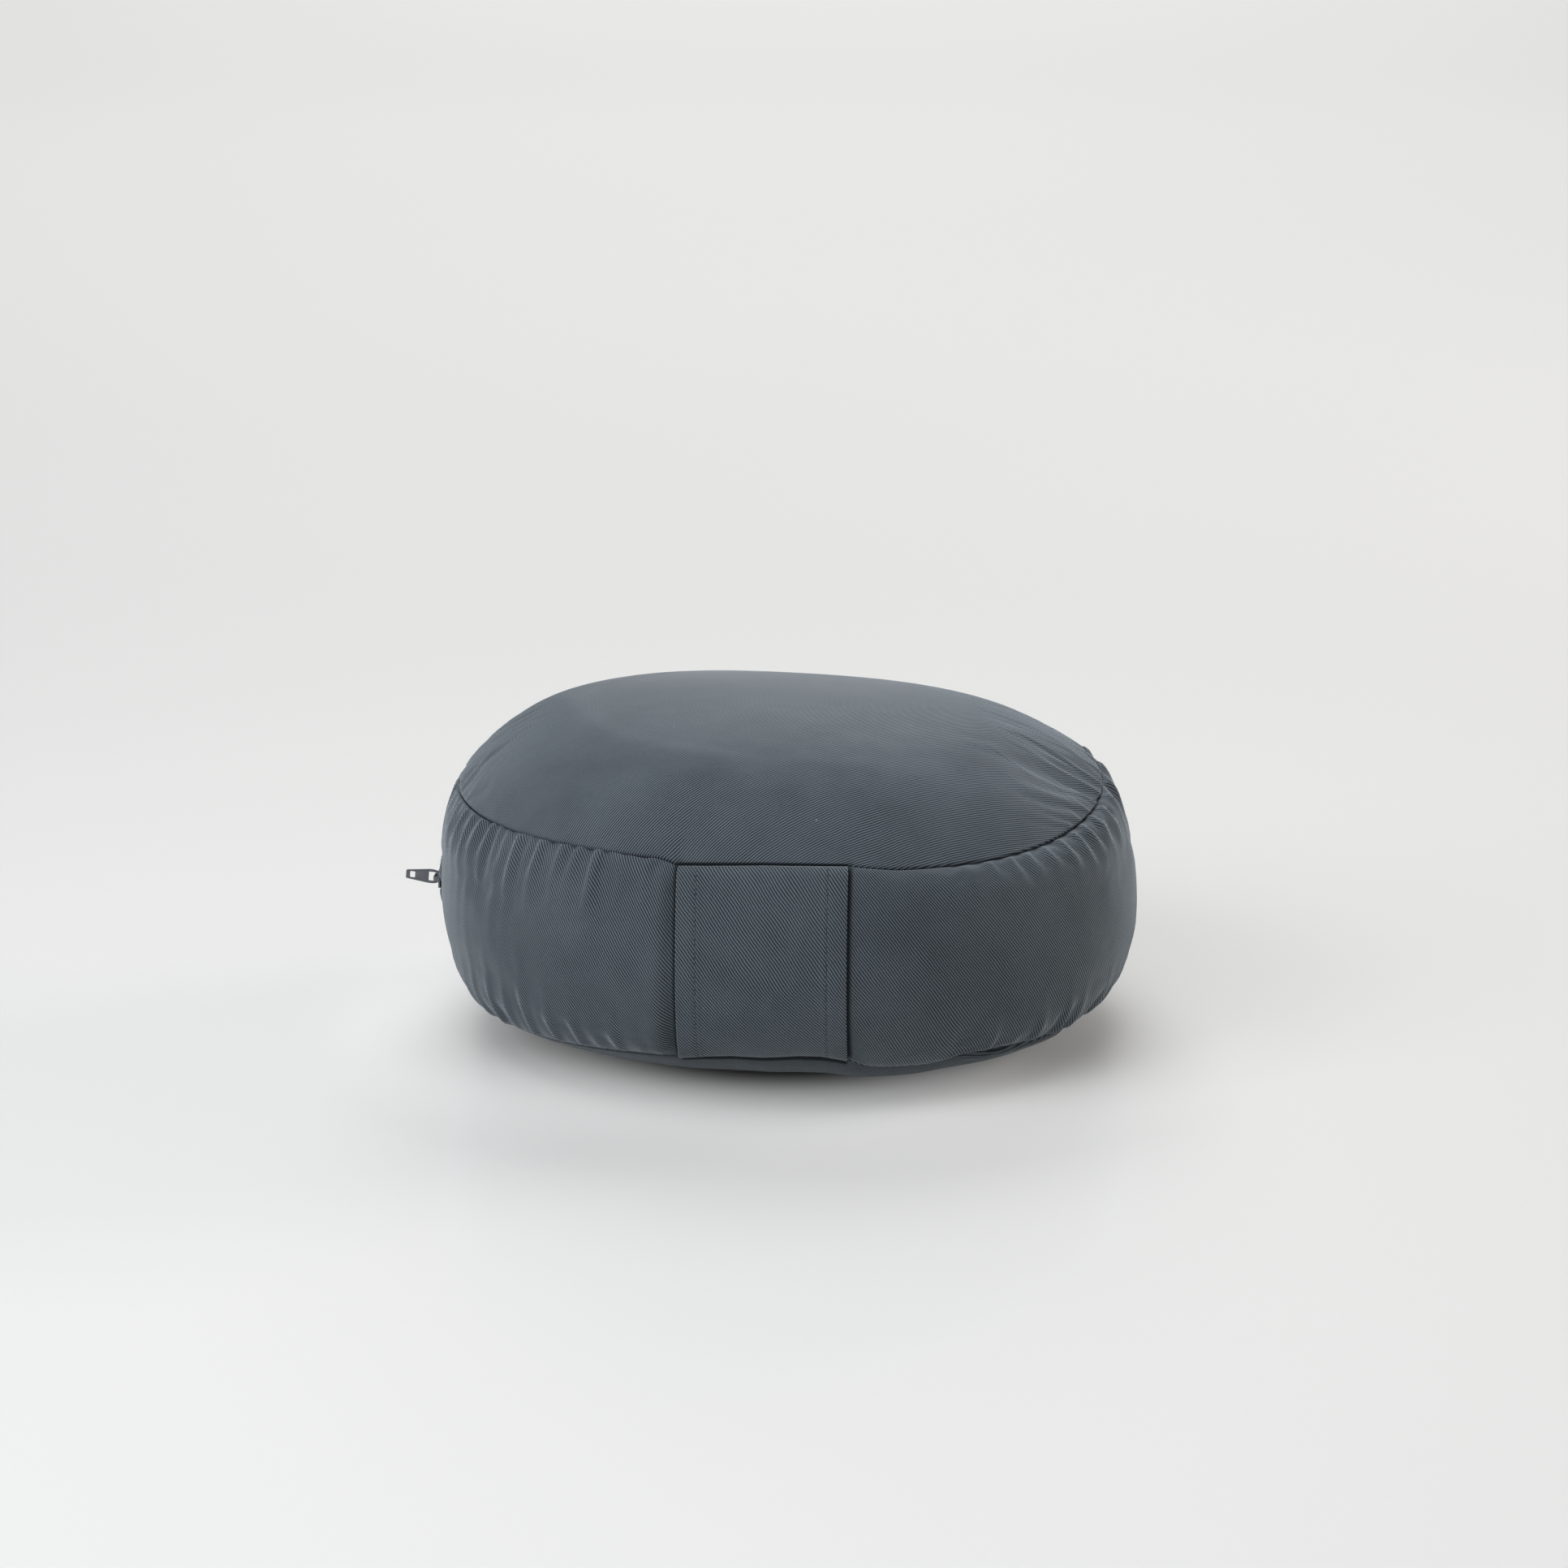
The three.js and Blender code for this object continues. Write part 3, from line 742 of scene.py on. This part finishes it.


# Painted shade: dark lines along the top seam, along the base seam but where the cloth rolls softly
# under, and at the strap's two ends, and a painted shadow beside the strap, which covers this much of
# the band to either side and presses on it. The base panel is painted in shade all over, since it faces the
# floor.
CREASE_SHADE = 0.9
BASE_SEAM_SHADE = [(-180, 0.8), (15, 0.8), (17, 0), (34, 0), (38, 1), (180, 1)]
BASE_SHADE = 0.35
STRAP_END_TURN = 14.8
STRAP_FOOT_SHADE = (1, 1, 1)
STRAP_HEAD_SHADE = 1
COVERED_HALF = 0.042
STRAP_EDGE_SHADOW = 0.95
STRAP_EDGE_SHADOW_SPAN = (0.001, 0.0034)
STRAP_EDGE_SHADOW_FOOT = (0.026, 0.031)
STRAP_EDGE_SHADOW_HEAD = (0.124, 0.130)


def painted_shade_lines(finish, place):
    """Painted shade: 1 along the seams, at the strap's ends and beside its edges, part over the base panel,
    0 elsewhere.
    """
    # The painted shade that the points hold, along the seams, at the strap's ends and over the base panel.
    seam = finish.node("ShaderNodeAttribute", {"attribute_name": "crease"}, None, output="Fac")
    x, y, height = (finish.axis(place, index) for index in range(3))
    turn = x.math("ARCTAN2", x, -1 * y)
    level = x * x + y * y
    beside = turn.math("ABSOLUTE", turn) * level.math("SQRT", level) - COVERED_HALF
    # A painted shadow along both edges of the strap, between the seams.
    edge_shadow = 1 - beside.math("ABSOLUTE", beside).between(*STRAP_EDGE_SHADOW_SPAN)
    edge_shadow = edge_shadow * height.between(*STRAP_EDGE_SHADOW_FOOT) * (1 - height.between(*STRAP_EDGE_SHADOW_HEAD))
    return seam.math("MAXIMUM", seam, STRAP_EDGE_SHADOW * edge_shadow)


def twill(name, painted_shade=None):
    """Slate cotton twill: raised lines of floating yarns, a cloudy dye, lint and a soft nap.

    Where the given painted shade, a function of the finish and the place, is 1, the cloth is painted nearly
    black.
    """
    finish = Finish(name)
    place = finish.object_place()
    weave = finish.node("ShaderNodeUVMap", {"uv_map": "weave"})
    across = finish.axis(weave, 0)
    along = finish.axis(weave, 1)
    line = 2 * math.pi / TWILL_PITCH
    wander = finish.noise(place, 260)
    sway = finish.noise(place, 50, 1.0)
    ridge = (across * line + LINE_WANDER * (wander - 0.5) + LINE_SWAY * (sway - 0.5)).wave()
    floats = (along * (line / FLOAT_PITCHES) + across * (FLOAT_SKEW * line)).wave()
    yarn = finish.noise(place, 1500, 3.0, 0.65)
    cloud = finish.noise(place, 14, 4.0, 0.6)
    worn = finish.noise(place, 45, 3.0, 0.55)
    tone = TONE_RIDGE * ridge + TONE_FLOATS * floats + TONE_YARN * yarn
    tone = tone + TONE_CLOUD * (cloud - 0.5) + TONE_WORN * (worn - 0.5)
    yarn_colour = finish.mix(tone.between(*TONE_RANGE), TWILL_DARK, TWILL_LIGHT)
    specks = {"Vector": place, "Scale": LINT_SCALE}
    speck = finish.node("ShaderNodeTexVoronoi", None, specks)
    chance = finish.node("ShaderNodeTexVoronoi", None, specks, output="Color")
    chosen = finish.node("ShaderNodeSeparateColor", None, {0: chance})
    lint = (speck < LINT_SIZE) * (chosen > LINT_RARITY)
    cloth_colour = finish.mix(lint * LINT_COVER, yarn_colour, LINT_COLOUR)
    relief = RELIEF_RIDGE * ridge + RELIEF_FLOATS * floats * ridge + RELIEF_YARN * yarn
    shader = finish.shader(
        Base_Color=cloth_colour,
        Roughness=0.92 - 0.08 * ridge,
        Normal=finish.bump(relief, 0.7, RELIEF_DEPTH),
        Specular_IOR_Level=0.2,
        Sheen_Weight=0.7,
        Sheen_Roughness=0.3,
        Sheen_Tint=NAP_TINT,
    )
    # Painted shade: a near-black cloth without nap takes over where the given shade is 1.
    if painted_shade:
        painted_shade_shader = finish.shader(Base_Color=PAINTED_SHADE_COLOUR, Roughness=1.0, Specular_IOR_Level=0.1)
        blend = {0: CREASE_SHADE * painted_shade(finish, place), 1: shader, 2: painted_shade_shader}
        shader = finish.node("ShaderNodeMixShader", None, blend)
    return finish.surface(shader)


def cover_object():
    """The cover as one closed skin, with the weave of its three panels as its map."""
    rows = np.concatenate([base[1:-1], band[:-1], crown[:-1]])
    points = np.concatenate([rows.reshape(-1, 3), base[:1, 0], crown[-1:, 0]]) * MM
    base_middle = len(points) - 2
    crown_middle = len(points) - 1
    index = ring_indices(len(rows), COVER_COLUMNS).tolist()
    base_fan = [(after, here, base_middle) for here, after in zip(index[0], index[0][1:])]
    crown_fan = [(here, after, crown_middle) for here, after in zip(index[-1], index[-1][1:])]
    faces = grid_faces(len(rows), COVER_COLUMNS) + base_fan + crown_fan
    base_map = round_weave(plain_base)
    crown_map = round_weave(plain_crown[::-1])[::-1]
    middle = np.zeros((COVER_COLUMNS, 2))
    weave = [
        *(corners(panel).reshape(-1, 2) for panel in (base_map[1:], band_weave(), crown_map[:-1])),
        np.stack([base_map[1, 1:], base_map[1, :-1], middle], axis=1).reshape(-1, 2),
        np.stack([crown_map[-2, :-1], crown_map[-2, 1:], middle], axis=1).reshape(-1, 2),
    ]
    made = mesh_object("cushion_cover", points.tolist(), faces, twill("cover_twill", painted_shade_lines))
    made.data.uv_layers.new(name="weave").data.foreach_set("uv", np.concatenate(weave).ravel())
    # Painted shade held by the points: part over the base panel, lines along both seams and at the strap's
    # ends.
    crease = np.zeros(rows.shape[:2])
    base_seam = len(base) - 2
    top_seam = base_seam + len(band) - 1
    at_strap = np.abs(turn_degrees) < STRAP_END_TURN
    crease[:base_seam] = BASE_SHADE
    crease[base_seam] = np.interp(turn_degrees, *zip(*BASE_SEAM_SHADE))
    crease[top_seam] = 1
    crease[base_seam - len(STRAP_FOOT_SHADE) : base_seam, at_strap] = np.array(STRAP_FOOT_SHADE)[:, None]
    crease[top_seam + 1, at_strap] = STRAP_HEAD_SHADE
    seams = made.data.attributes.new("crease", "FLOAT", "POINT")
    seams.data.foreach_set("value", np.append(crease.ravel(), [BASE_SHADE, 0]))
    return made


cover = cover_object()
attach(cover, "root")
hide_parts("cushion")

# Carry strap. A wide strip of the same twill, folded double at its side hems and topstitched
# there, laid over the band in front with its ends caught in both ring seams.
STRAP_WIDTH = 84
STRAP_THICKNESS = 1.7
STRAP_GAP = 0.8
STRAP_EDGE = 0.9
STRAP_END_RUN = (-2, 7)
STRAP_END_SINK = 0.6
STRAP_SINK_RUN = 2.5
STRAP_INSET = 0.3
HEM_RISE = 0.5
HEM_FALL = (10.5, 13.5)
HEM_END = 14
STITCH_LINE = 10
STITCH_DENT = 0.45
STITCH_DENT_WIDTH = 0.9
ROUNDING_POINTS = 5
HEM_POINTS = 18
MIDDLE_POINTS = 28
INNER_POINTS = 24


def at_turns(field, angles):
    """A field at any turns, the same or others in each row, between the cover's columns."""
    place = (angles + np.pi) / (2 * np.pi) * COVER_COLUMNS
    before = np.floor(place).astype(int)
    share = (place - before)[..., None]
    row = np.arange(len(field))[:, None]
    columns = (before % COVER_COLUMNS, (before + 1) % COVER_COLUMNS)
    return field[row, columns[0]] * (1 - share) + field[row, columns[1]] * share


def swept(name, sections, weave, material):
    """A solid strip through closed sections, one row of points each, with its weave map."""
    rows, around = sections.shape[:2]
    index = ring_indices(rows, around)
    caps = [index[0, :-1][::-1].tolist(), index[-1, :-1].tolist()]
    faces = grid_faces(rows, around) + caps
    made = mesh_object(name, (sections.reshape(-1, 3) * MM).tolist(), faces, material)
    closed = np.concatenate([weave, weave[:, :1]], axis=1)
    places = np.concatenate([corners(closed).reshape(-1, 2), weave[0, ::-1], weave[-1]])
    made.data.uv_layers.new(name="weave").data.foreach_set("uv", places.ravel())
    return made


def strap_outside(x):
    """How far the strap's outer face stands off the band: hems thicker, dented by their thread."""
    from_edge = STRAP_WIDTH / 2 - np.abs(x)
    hem = HEM_RISE * (1 - smooth(*HEM_FALL, from_edge))
    dent = STITCH_DENT * np.exp(-(((from_edge - STITCH_LINE) / STITCH_DENT_WIDTH) ** 2))
    edge = STRAP_EDGE * (1 - np.sqrt(1 - (1 - np.clip(from_edge / STRAP_EDGE, 0, 1)) ** 2))
    return STRAP_GAP + STRAP_THICKNESS + hem - dent - edge


from_seam = np.minimum(below_top_seam, above_base_seam)[:, :1]


def strap_points(x, lift):
    """Points of the strap at these places across it, lifted off the band, less so at its ends."""
    angles = x / band_radius[:, COVER_COLUMNS // 2, None]
    sunk = STRAP_END_SINK * (1 - smooth(0, STRAP_SINK_RUN, from_seam))
    settled = lift * smooth(*STRAP_END_RUN, from_seam) - sunk
    return at_turns(plain_band, angles) + at_turns(band_outward, angles) * settled[..., None]


def strap_object():
    half = STRAP_WIDTH / 2
    rounding = half - STRAP_EDGE * (1 - np.cos(np.linspace(0, np.pi / 2, ROUNDING_POINTS)[:-1]))
    hem = np.linspace(half - STRAP_EDGE, half - HEM_END, HEM_POINTS)
    middle = np.linspace(half - HEM_END, HEM_END - half, MIDDLE_POINTS)[1:-1]
    outer = np.concatenate([-rounding, -hem, middle[::-1], hem[::-1], rounding[::-1]])
    inner = np.linspace(half - STRAP_INSET, STRAP_INSET - half, INNER_POINTS)
    x = np.concatenate([outer, inner])
    lift = np.concatenate([strap_outside(outer), np.full(len(inner), STRAP_GAP)])
    up = np.mean(above_base_seam, axis=1)[:, None] + 0 * x
    weave = weave_map(x + 0 * up, up, BAND_LINE_ANGLE)
    return swept("carry_strap_cloth", strap_points(x, lift), weave, slate_twill)


slate_twill = twill("slate_twill")
strap = strap_object()

# Strap stitching. Matching polyester thread, sewn in a lockstitch down both hems of the strap,
# where it lies a little sunk in the cloth. Sizes of the stitches are in metres.
THREAD_DARK = (0.014, 0.018, 0.022)
THREAD_LIGHT = (0.046, 0.054, 0.062)
STITCH_PITCH = 0.0031
STITCH_LENGTH = 0.0024
THREAD_RADIUS = 0.00028
THREAD_LIFT = 0.12
END_ROWS = 4


class Layout:
    """A Geometry Nodes tree that is built node by node, with named inputs for its sizes."""

    def __init__(self, name, **sizes):
        self.tree = bpy.data.node_groups.new(name, "GeometryNodeTree")
        self.socket("Path", "NodeSocketGeometry")
        self.tree.interface.new_socket("Made", in_out="OUTPUT", socket_type="NodeSocketGeometry")
        self.sizes = {size: self.socket(size, "NodeSocketFloat") for size in sizes}
        self.sizes["Material"] = self.socket("Material", "NodeSocketMaterial")
        self.values = sizes
        self.start = self.tree.nodes.new("NodeGroupInput")
        self.end = self.tree.nodes.new("NodeGroupOutput")

    def socket(self, name, kind):
        return self.tree.interface.new_socket(name, in_out="INPUT", socket_type=kind).identifier

    def node(self, kind, settings=None, sockets=None):
        return new_node(self.tree, kind, settings, sockets)

    def size(self, name):
        return self.start.outputs[name]

    def product(self, size, factor):
        """A named size times a number."""
        sockets = {0: self.size(size), 1: factor}
        return self.node("ShaderNodeMath", {"operation": "MULTIPLY"}, sockets).outputs[0]

    def bead(self, x, y, z, place=(0, 0, 0)):
        """A rounded bead with these half sizes, at a place."""
        ball = self.node("GeometryNodeMeshUVSphere", None, {"Segments": 6, "Rings": 5, "Radius": 1.0})
        scale = self.node("ShaderNodeCombineXYZ", None, {"X": x, "Y": y, "Z": z})
        shaped = {"Geometry": ball.outputs[0], "Translation": place, "Scale": scale.outputs[0]}
        return self.node("GeometryNodeTransform", None, shaped)

    def points(self, axis):
        """Points along the path, one each pitch, and a rotation that lays this axis along it."""
        curve = self.node("GeometryNodeMeshToCurve", None, {0: self.size("Path")})
        pitch = {"Curve": curve.outputs[0], "Length": self.size("Pitch")}
        points = self.node("GeometryNodeCurveToPoints", {"mode": "LENGTH"}, pitch)
        tangent = {"Vector": points.outputs["Tangent"]}
        return points, self.node("FunctionNodeAlignRotationToVector", {"axis": axis}, tangent)

    def finish(self, points, piece, rotation):
        """Ends the tree in a piece at each point, as real geometry with the material set."""
        turned = {"Points": points.outputs[0], "Instance": piece.outputs[0], "Rotation": rotation.outputs[0]}
        laid = self.node("GeometryNodeInstanceOnPoints", None, turned)
        real = self.node("GeometryNodeRealizeInstances", None, {0: laid.outputs[0]})
        round_faces = self.node("GeometryNodeSetShadeSmooth", None, {0: real.outputs[0]})
        sockets = {"Geometry": round_faces.outputs[0], "Material": self.size("Material")}
        worn = self.node("GeometryNodeSetMaterial", None, sockets)
        self.tree.links.new(worn.outputs[0], self.end.inputs[0])

    def along(self, name, path, material):
        """A new mesh object of what the tree lays along a path of points, in millimetres."""
        line = bpy.data.meshes.new(name + "_path")
        edges = [(index, index + 1) for index in range(len(path) - 1)]
        line.from_pydata((np.asarray(path) * MM).tolist(), edges, [])
        guide = in_scene(name + "_path", line)
        modifier = guide.modifiers.new("layout", "NODES")
        modifier.node_group = self.tree
        for size, value in self.values.items():
            modifier[self.sizes[size]] = value
        modifier[self.sizes["Material"]] = material
        laid = guide.evaluated_get(bpy.context.evaluated_depsgraph_get())
        mesh = bpy.data.meshes.new_from_object(laid)
        bpy.data.objects.remove(guide)
        mesh.name = name
        return in_scene(name, mesh)


def stitch_layout():
    """A row of stitches: short rounded threads, end to end along the path."""
    sizes = {"Pitch": STITCH_PITCH, "Stitch length": STITCH_LENGTH, "Thread radius": THREAD_RADIUS}
    layout = Layout("stitch_row", **sizes)
    points, turned = layout.points("Z")
    radius = layout.size("Thread radius")
    stitch = layout.bead(radius, radius, layout.product("Stitch length", 0.5))
    layout.finish(points, stitch, turned)
    return layout


def sewing_thread():
    finish = Finish("sewing_thread")
    twist = finish.noise(finish.object_place(), 3000)
    fibre = finish.mix(twist, THREAD_DARK, THREAD_LIGHT)
    shader = finish.shader(Base_Color=fibre, Roughness=0.75, Specular_IOR_Level=0.3, Sheen_Weight=0.3)
    return finish.surface(shader)


thread = sewing_thread()
stitches = stitch_layout()


def strap_stitch_path(side):
    x = np.array([side * (STRAP_WIDTH / 2 - STITCH_LINE)])
    return strap_points(x, strap_outside(x) + THREAD_LIFT)[END_ROWS:-END_ROWS, 0]


left_stitches = stitches.along("strap_stitches_left", strap_stitch_path(-1), thread)
right_stitches = stitches.along("strap_stitches_right", strap_stitch_path(1), thread)
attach(strap, "root")
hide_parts("carry_strap")
for row in (left_stitches, right_stitches):
    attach(row, "root")

# Zip coil. Two rows of nylon turns that lock together, on a woven tape that is sewn into the
# band behind its lips. Sizes of the turns are in metres, the tape's section is in millimetres.
COIL_COLOUR = (0.030, 0.036, 0.044)
COIL_SHINE = (0.060, 0.070, 0.082)
COIL_PITCH = 0.0013
COIL_LIFT = 1.0
TURN_OFFSET = 0.0013
TURN_HALF_LENGTH = 0.0019
TURN_HALF_WIDTH = 0.0005
TURN_HALF_HEIGHT = 0.0006
TAPE_EDGES = [(-7, -0.9), (-7, 0.1), (7, 0.1), (7, -0.9)]
TAPE_OVERRUN = 1.5
TAPE_RIBS = 9000
ZIP_STEP = 0.6


def zip_turns(before, after):
    """Turns along the zip, from so many degrees before its start to so many after its end."""
    count = round((zip_span + before + after) / ZIP_STEP)
    return np.radians(np.linspace(ZIP_START + before, ZIP_END - after, count))


def zip_points(angles, up, out):
    """Points by the zip, one row a turn: this far above its line and out from the plain band."""
    columns = at_turns(plain_band, angles)
    radii = np.hypot(columns[..., 0], columns[..., 1])
    height = ZIP_HEIGHT + up
    bed = [np.interp(height[turn], columns[:, turn, 2], radii[:, turn]) for turn in range(len(angles))]
    radius = np.array(bed) + out
    aside = np.sin(angles)[:, None]
    ahead = np.cos(angles)[:, None]
    return np.stack([radius * aside, -radius * ahead, height], axis=-1)


def coil_layout():
    """Rounded turns in pairs along the path, the lower one half a pitch further on."""
    sizes = {
        "Pitch": COIL_PITCH,
        "Offset": TURN_OFFSET,
        "Half length": TURN_HALF_LENGTH,
        "Half width": TURN_HALF_WIDTH,
        "Half height": TURN_HALF_HEIGHT,
    }
    layout = Layout("zip_coil", **sizes)
    points, turned = layout.points("X")
    half_sizes = [layout.size(size) for size in ("Half width", "Half length", "Half height")]
    pair = layout.node("GeometryNodeJoinGeometry")
    for pitches_on, offsets_up in ((0, 1), (0.5, -1)):
        aside = {"X": layout.product("Pitch", pitches_on), "Y": layout.product("Offset", offsets_up)}
        place = layout.node("ShaderNodeCombineXYZ", None, aside)
        turn = layout.bead(*half_sizes, place.outputs[0])
        layout.tree.links.new(turn.outputs[0], pair.inputs[0])
    position = layout.node("GeometryNodeInputPosition")
    level = {0: position.outputs[0], 1: (1.0, 1.0, 0.0)}
    away = layout.node("ShaderNodeVectorMath", {"operation": "MULTIPLY"}, level)
    facing = {"Rotation": turned.outputs[0], "Vector": away.outputs[0]}
    upright = layout.node("FunctionNodeAlignRotationToVector", {"axis": "Z", "pivot_axis": "X"}, facing)
    layout.finish(points, pair, upright)
    return layout


def nylon():
    finish = Finish("zip_nylon")
    sheen = finish.noise(finish.object_place(), 900)
    colour = finish.mix(sheen, COIL_COLOUR, COIL_SHINE)
    shader = finish.shader(Base_Color=colour, Roughness=0.38 + 0.1 * sheen)
    return finish.surface(shader)


def zip_tape():
    finish = Finish("zip_tape")
    place = finish.object_place()
    rib = (finish.axis(place, 2) * TAPE_RIBS).wave()
    weave = 0.5 * rib + 0.5 * finish.noise(place, 1800)
    shader = finish.shader(
        Base_Color=finish.mix(weave, TWILL_DARK, COIL_SHINE),
        Roughness=0.8,
        Normal=finish.bump(weave, 0.4, 0.0002),
    )
    return finish.surface(shader)


def strip_by_zip(name, angles, up, out, material):
    """A solid strip along the zip, with its weave laid like the band's."""
    run = (BELLY_RADIUS * angles)[:, None] + 0 * up
    return swept(name, zip_points(angles, up, out), weave_map(run, up, BAND_LINE_ANGLE), material)


coil_turns = zip_turns(0, 0)
coil_line = np.zeros((len(coil_turns), 1))
coil_path = zip_points(coil_turns, coil_line, coil_line + COIL_LIFT)[:, 0]
coil = coil_layout().along("zip_coil_turns", coil_path, nylon())
tape_turns = zip_turns(TAPE_OVERRUN, TAPE_OVERRUN)
tape_up, tape_out = (np.tile(side, (len(tape_turns), 1)) for side in zip(*TAPE_EDGES))
tape = strip_by_zip("zip_tape", tape_turns, tape_up, tape_out, zip_tape())
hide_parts("zip_chain")
for zip_piece in (coil, tape):
    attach(zip_piece, "root")

# Zip lips. The band's own cloth, folded back along both sides of the coil and topstitched down.
# They part round the slider and close beyond both ends of the coil.
LIP_EDGE = 3.6
LIP_AT_SLIDER = 6.0
LIP_CLOSED = 0.3
SLIDER_RUN = 3.8
LIP_STITCH = (6.8, 1.1)
LIP_PROFILE = [
    (0.4, -0.9), (0.1, 0.2), (0.0, 0.8), (0.2, 1.4), (0.8, 1.8), (1.8, 1.9), (3.4, 1.75), (5.2, 1.5),
    (6.2, 1.25), (6.8, 0.95), (7.4, 1.05), (8.2, 0.7), (9.4, 0.0), (10.6, -0.9),
]
LIP_SUNK = -0.9
LIP_OVERRUN = (3.6, 3.0)

lip_turns = zip_turns(*LIP_OVERRUN)
from_start = ZIP_START - np.degrees(lip_turns)


def over_run(run, rise, fall):
    """1 over a run from the zip's start, with a rise there and a fall at its end, in degrees."""
    return smooth(*rise, from_start) * (1 - smooth(run + fall[0], run + fall[1], from_start))


parted = over_run(SLIDER_RUN, (-2.2, -0.6), (0.6, 2.6))
opened = over_run(zip_span, (-3.2, -0.8), (0.2, 2.2))
raised = over_run(zip_span, (-3.6, -1.6), (1.2, 3.0))
lip_edge = LIP_CLOSED + opened * (LIP_EDGE - LIP_CLOSED) + parted * (LIP_AT_SLIDER - LIP_EDGE)
lip_profile = np.array(LIP_PROFILE)


def lip_rows(side, profile):
    """Rows of heights and lifts of a lip, above the zip for side 1 and below it for side -1."""
    up = side * (lip_edge[:, None] + profile[:, 0])
    return up, LIP_SUNK + raised[:, None] * (profile[:, 1] - LIP_SUNK)


for side, lip_name in ((1, "upper"), (-1, "lower")):
    lip_up, lip_out = lip_rows(side, lip_profile[::side])
    lip = strip_by_zip(f"zip_lip_{lip_name}", lip_turns, lip_up, lip_out, slate_twill)
    seam_up, seam_out = lip_rows(side, np.array([LIP_STITCH]))
    seam = zip_points(lip_turns, seam_up, seam_out)[END_ROWS:-END_ROWS, 0]
    lip_stitches = stitches.along(f"zip_stitches_{lip_name}", seam, thread)
    for zip_piece in (lip, lip_stitches):
        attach(zip_piece, "root")

# Zip slider and pull. Two metal castings, enamelled dark slate, with the soft edges of their
# moulds. The slider grips the coil, and the pull hangs on the slider's bridge.
ENAMEL_DARK = (0.11, 0.118, 0.135)
ENAMEL_LIGHT = (0.17, 0.18, 0.20)
CASTING_ROUNDING = 0.00022
SHARP_EDGE = math.radians(30)
FLAT_EDGE = math.radians(1)
SAME_PLACE = 0.000001


def enamel():
    finish = Finish("zip_enamel")
    place = finish.object_place()
    cloud = finish.noise(place, 220, 3.0)
    grain = finish.noise(place, 2600)
    shader = finish.shader(
        Base_Color=finish.mix(cloud, ENAMEL_DARK, ENAMEL_LIGHT),
        Roughness=0.36 + 0.16 * cloud,
        Metallic=0.35,
        Normal=finish.bump(grain, 0.12, 0.0001),
        Coat_Weight=0.25,
    )
    return finish.surface(shader)


def rounded_over(node, name, material):
    """A copy of a CAD node with its sharp edges rounded over."""
    form = bmesh.new()
    form.from_mesh(node.data)
    form.transform(node.matrix_world)
    bmesh.ops.remove_doubles(form, verts=form.verts, dist=SAME_PLACE)
    bmesh.ops.dissolve_limit(form, angle_limit=FLAT_EDGE, verts=form.verts, edges=form.edges)
    edges = [edge for edge in form.edges if edge.calc_face_angle(0) > SHARP_EDGE]
    bmesh.ops.bevel(form, geom=edges, offset=CASTING_ROUNDING, segments=2, profile=0.5, affect="EDGES")
    mesh = bpy.data.meshes.new(name)
    form.to_mesh(mesh)
    form.free()
    mesh.materials.clear()
    mesh.materials.append(material)
    mesh.shade_smooth()
    mesh.set_sharp_from_angle(angle=SHARP_EDGE)
    return in_scene(name, mesh)


zip_enamel = enamel()
for node_name in ("zip_slider", "zip_pull"):
    casting = rounded_over(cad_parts[node_name], f"{node_name}_casting", zip_enamel)
    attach(casting, "root")
    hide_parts(node_name)
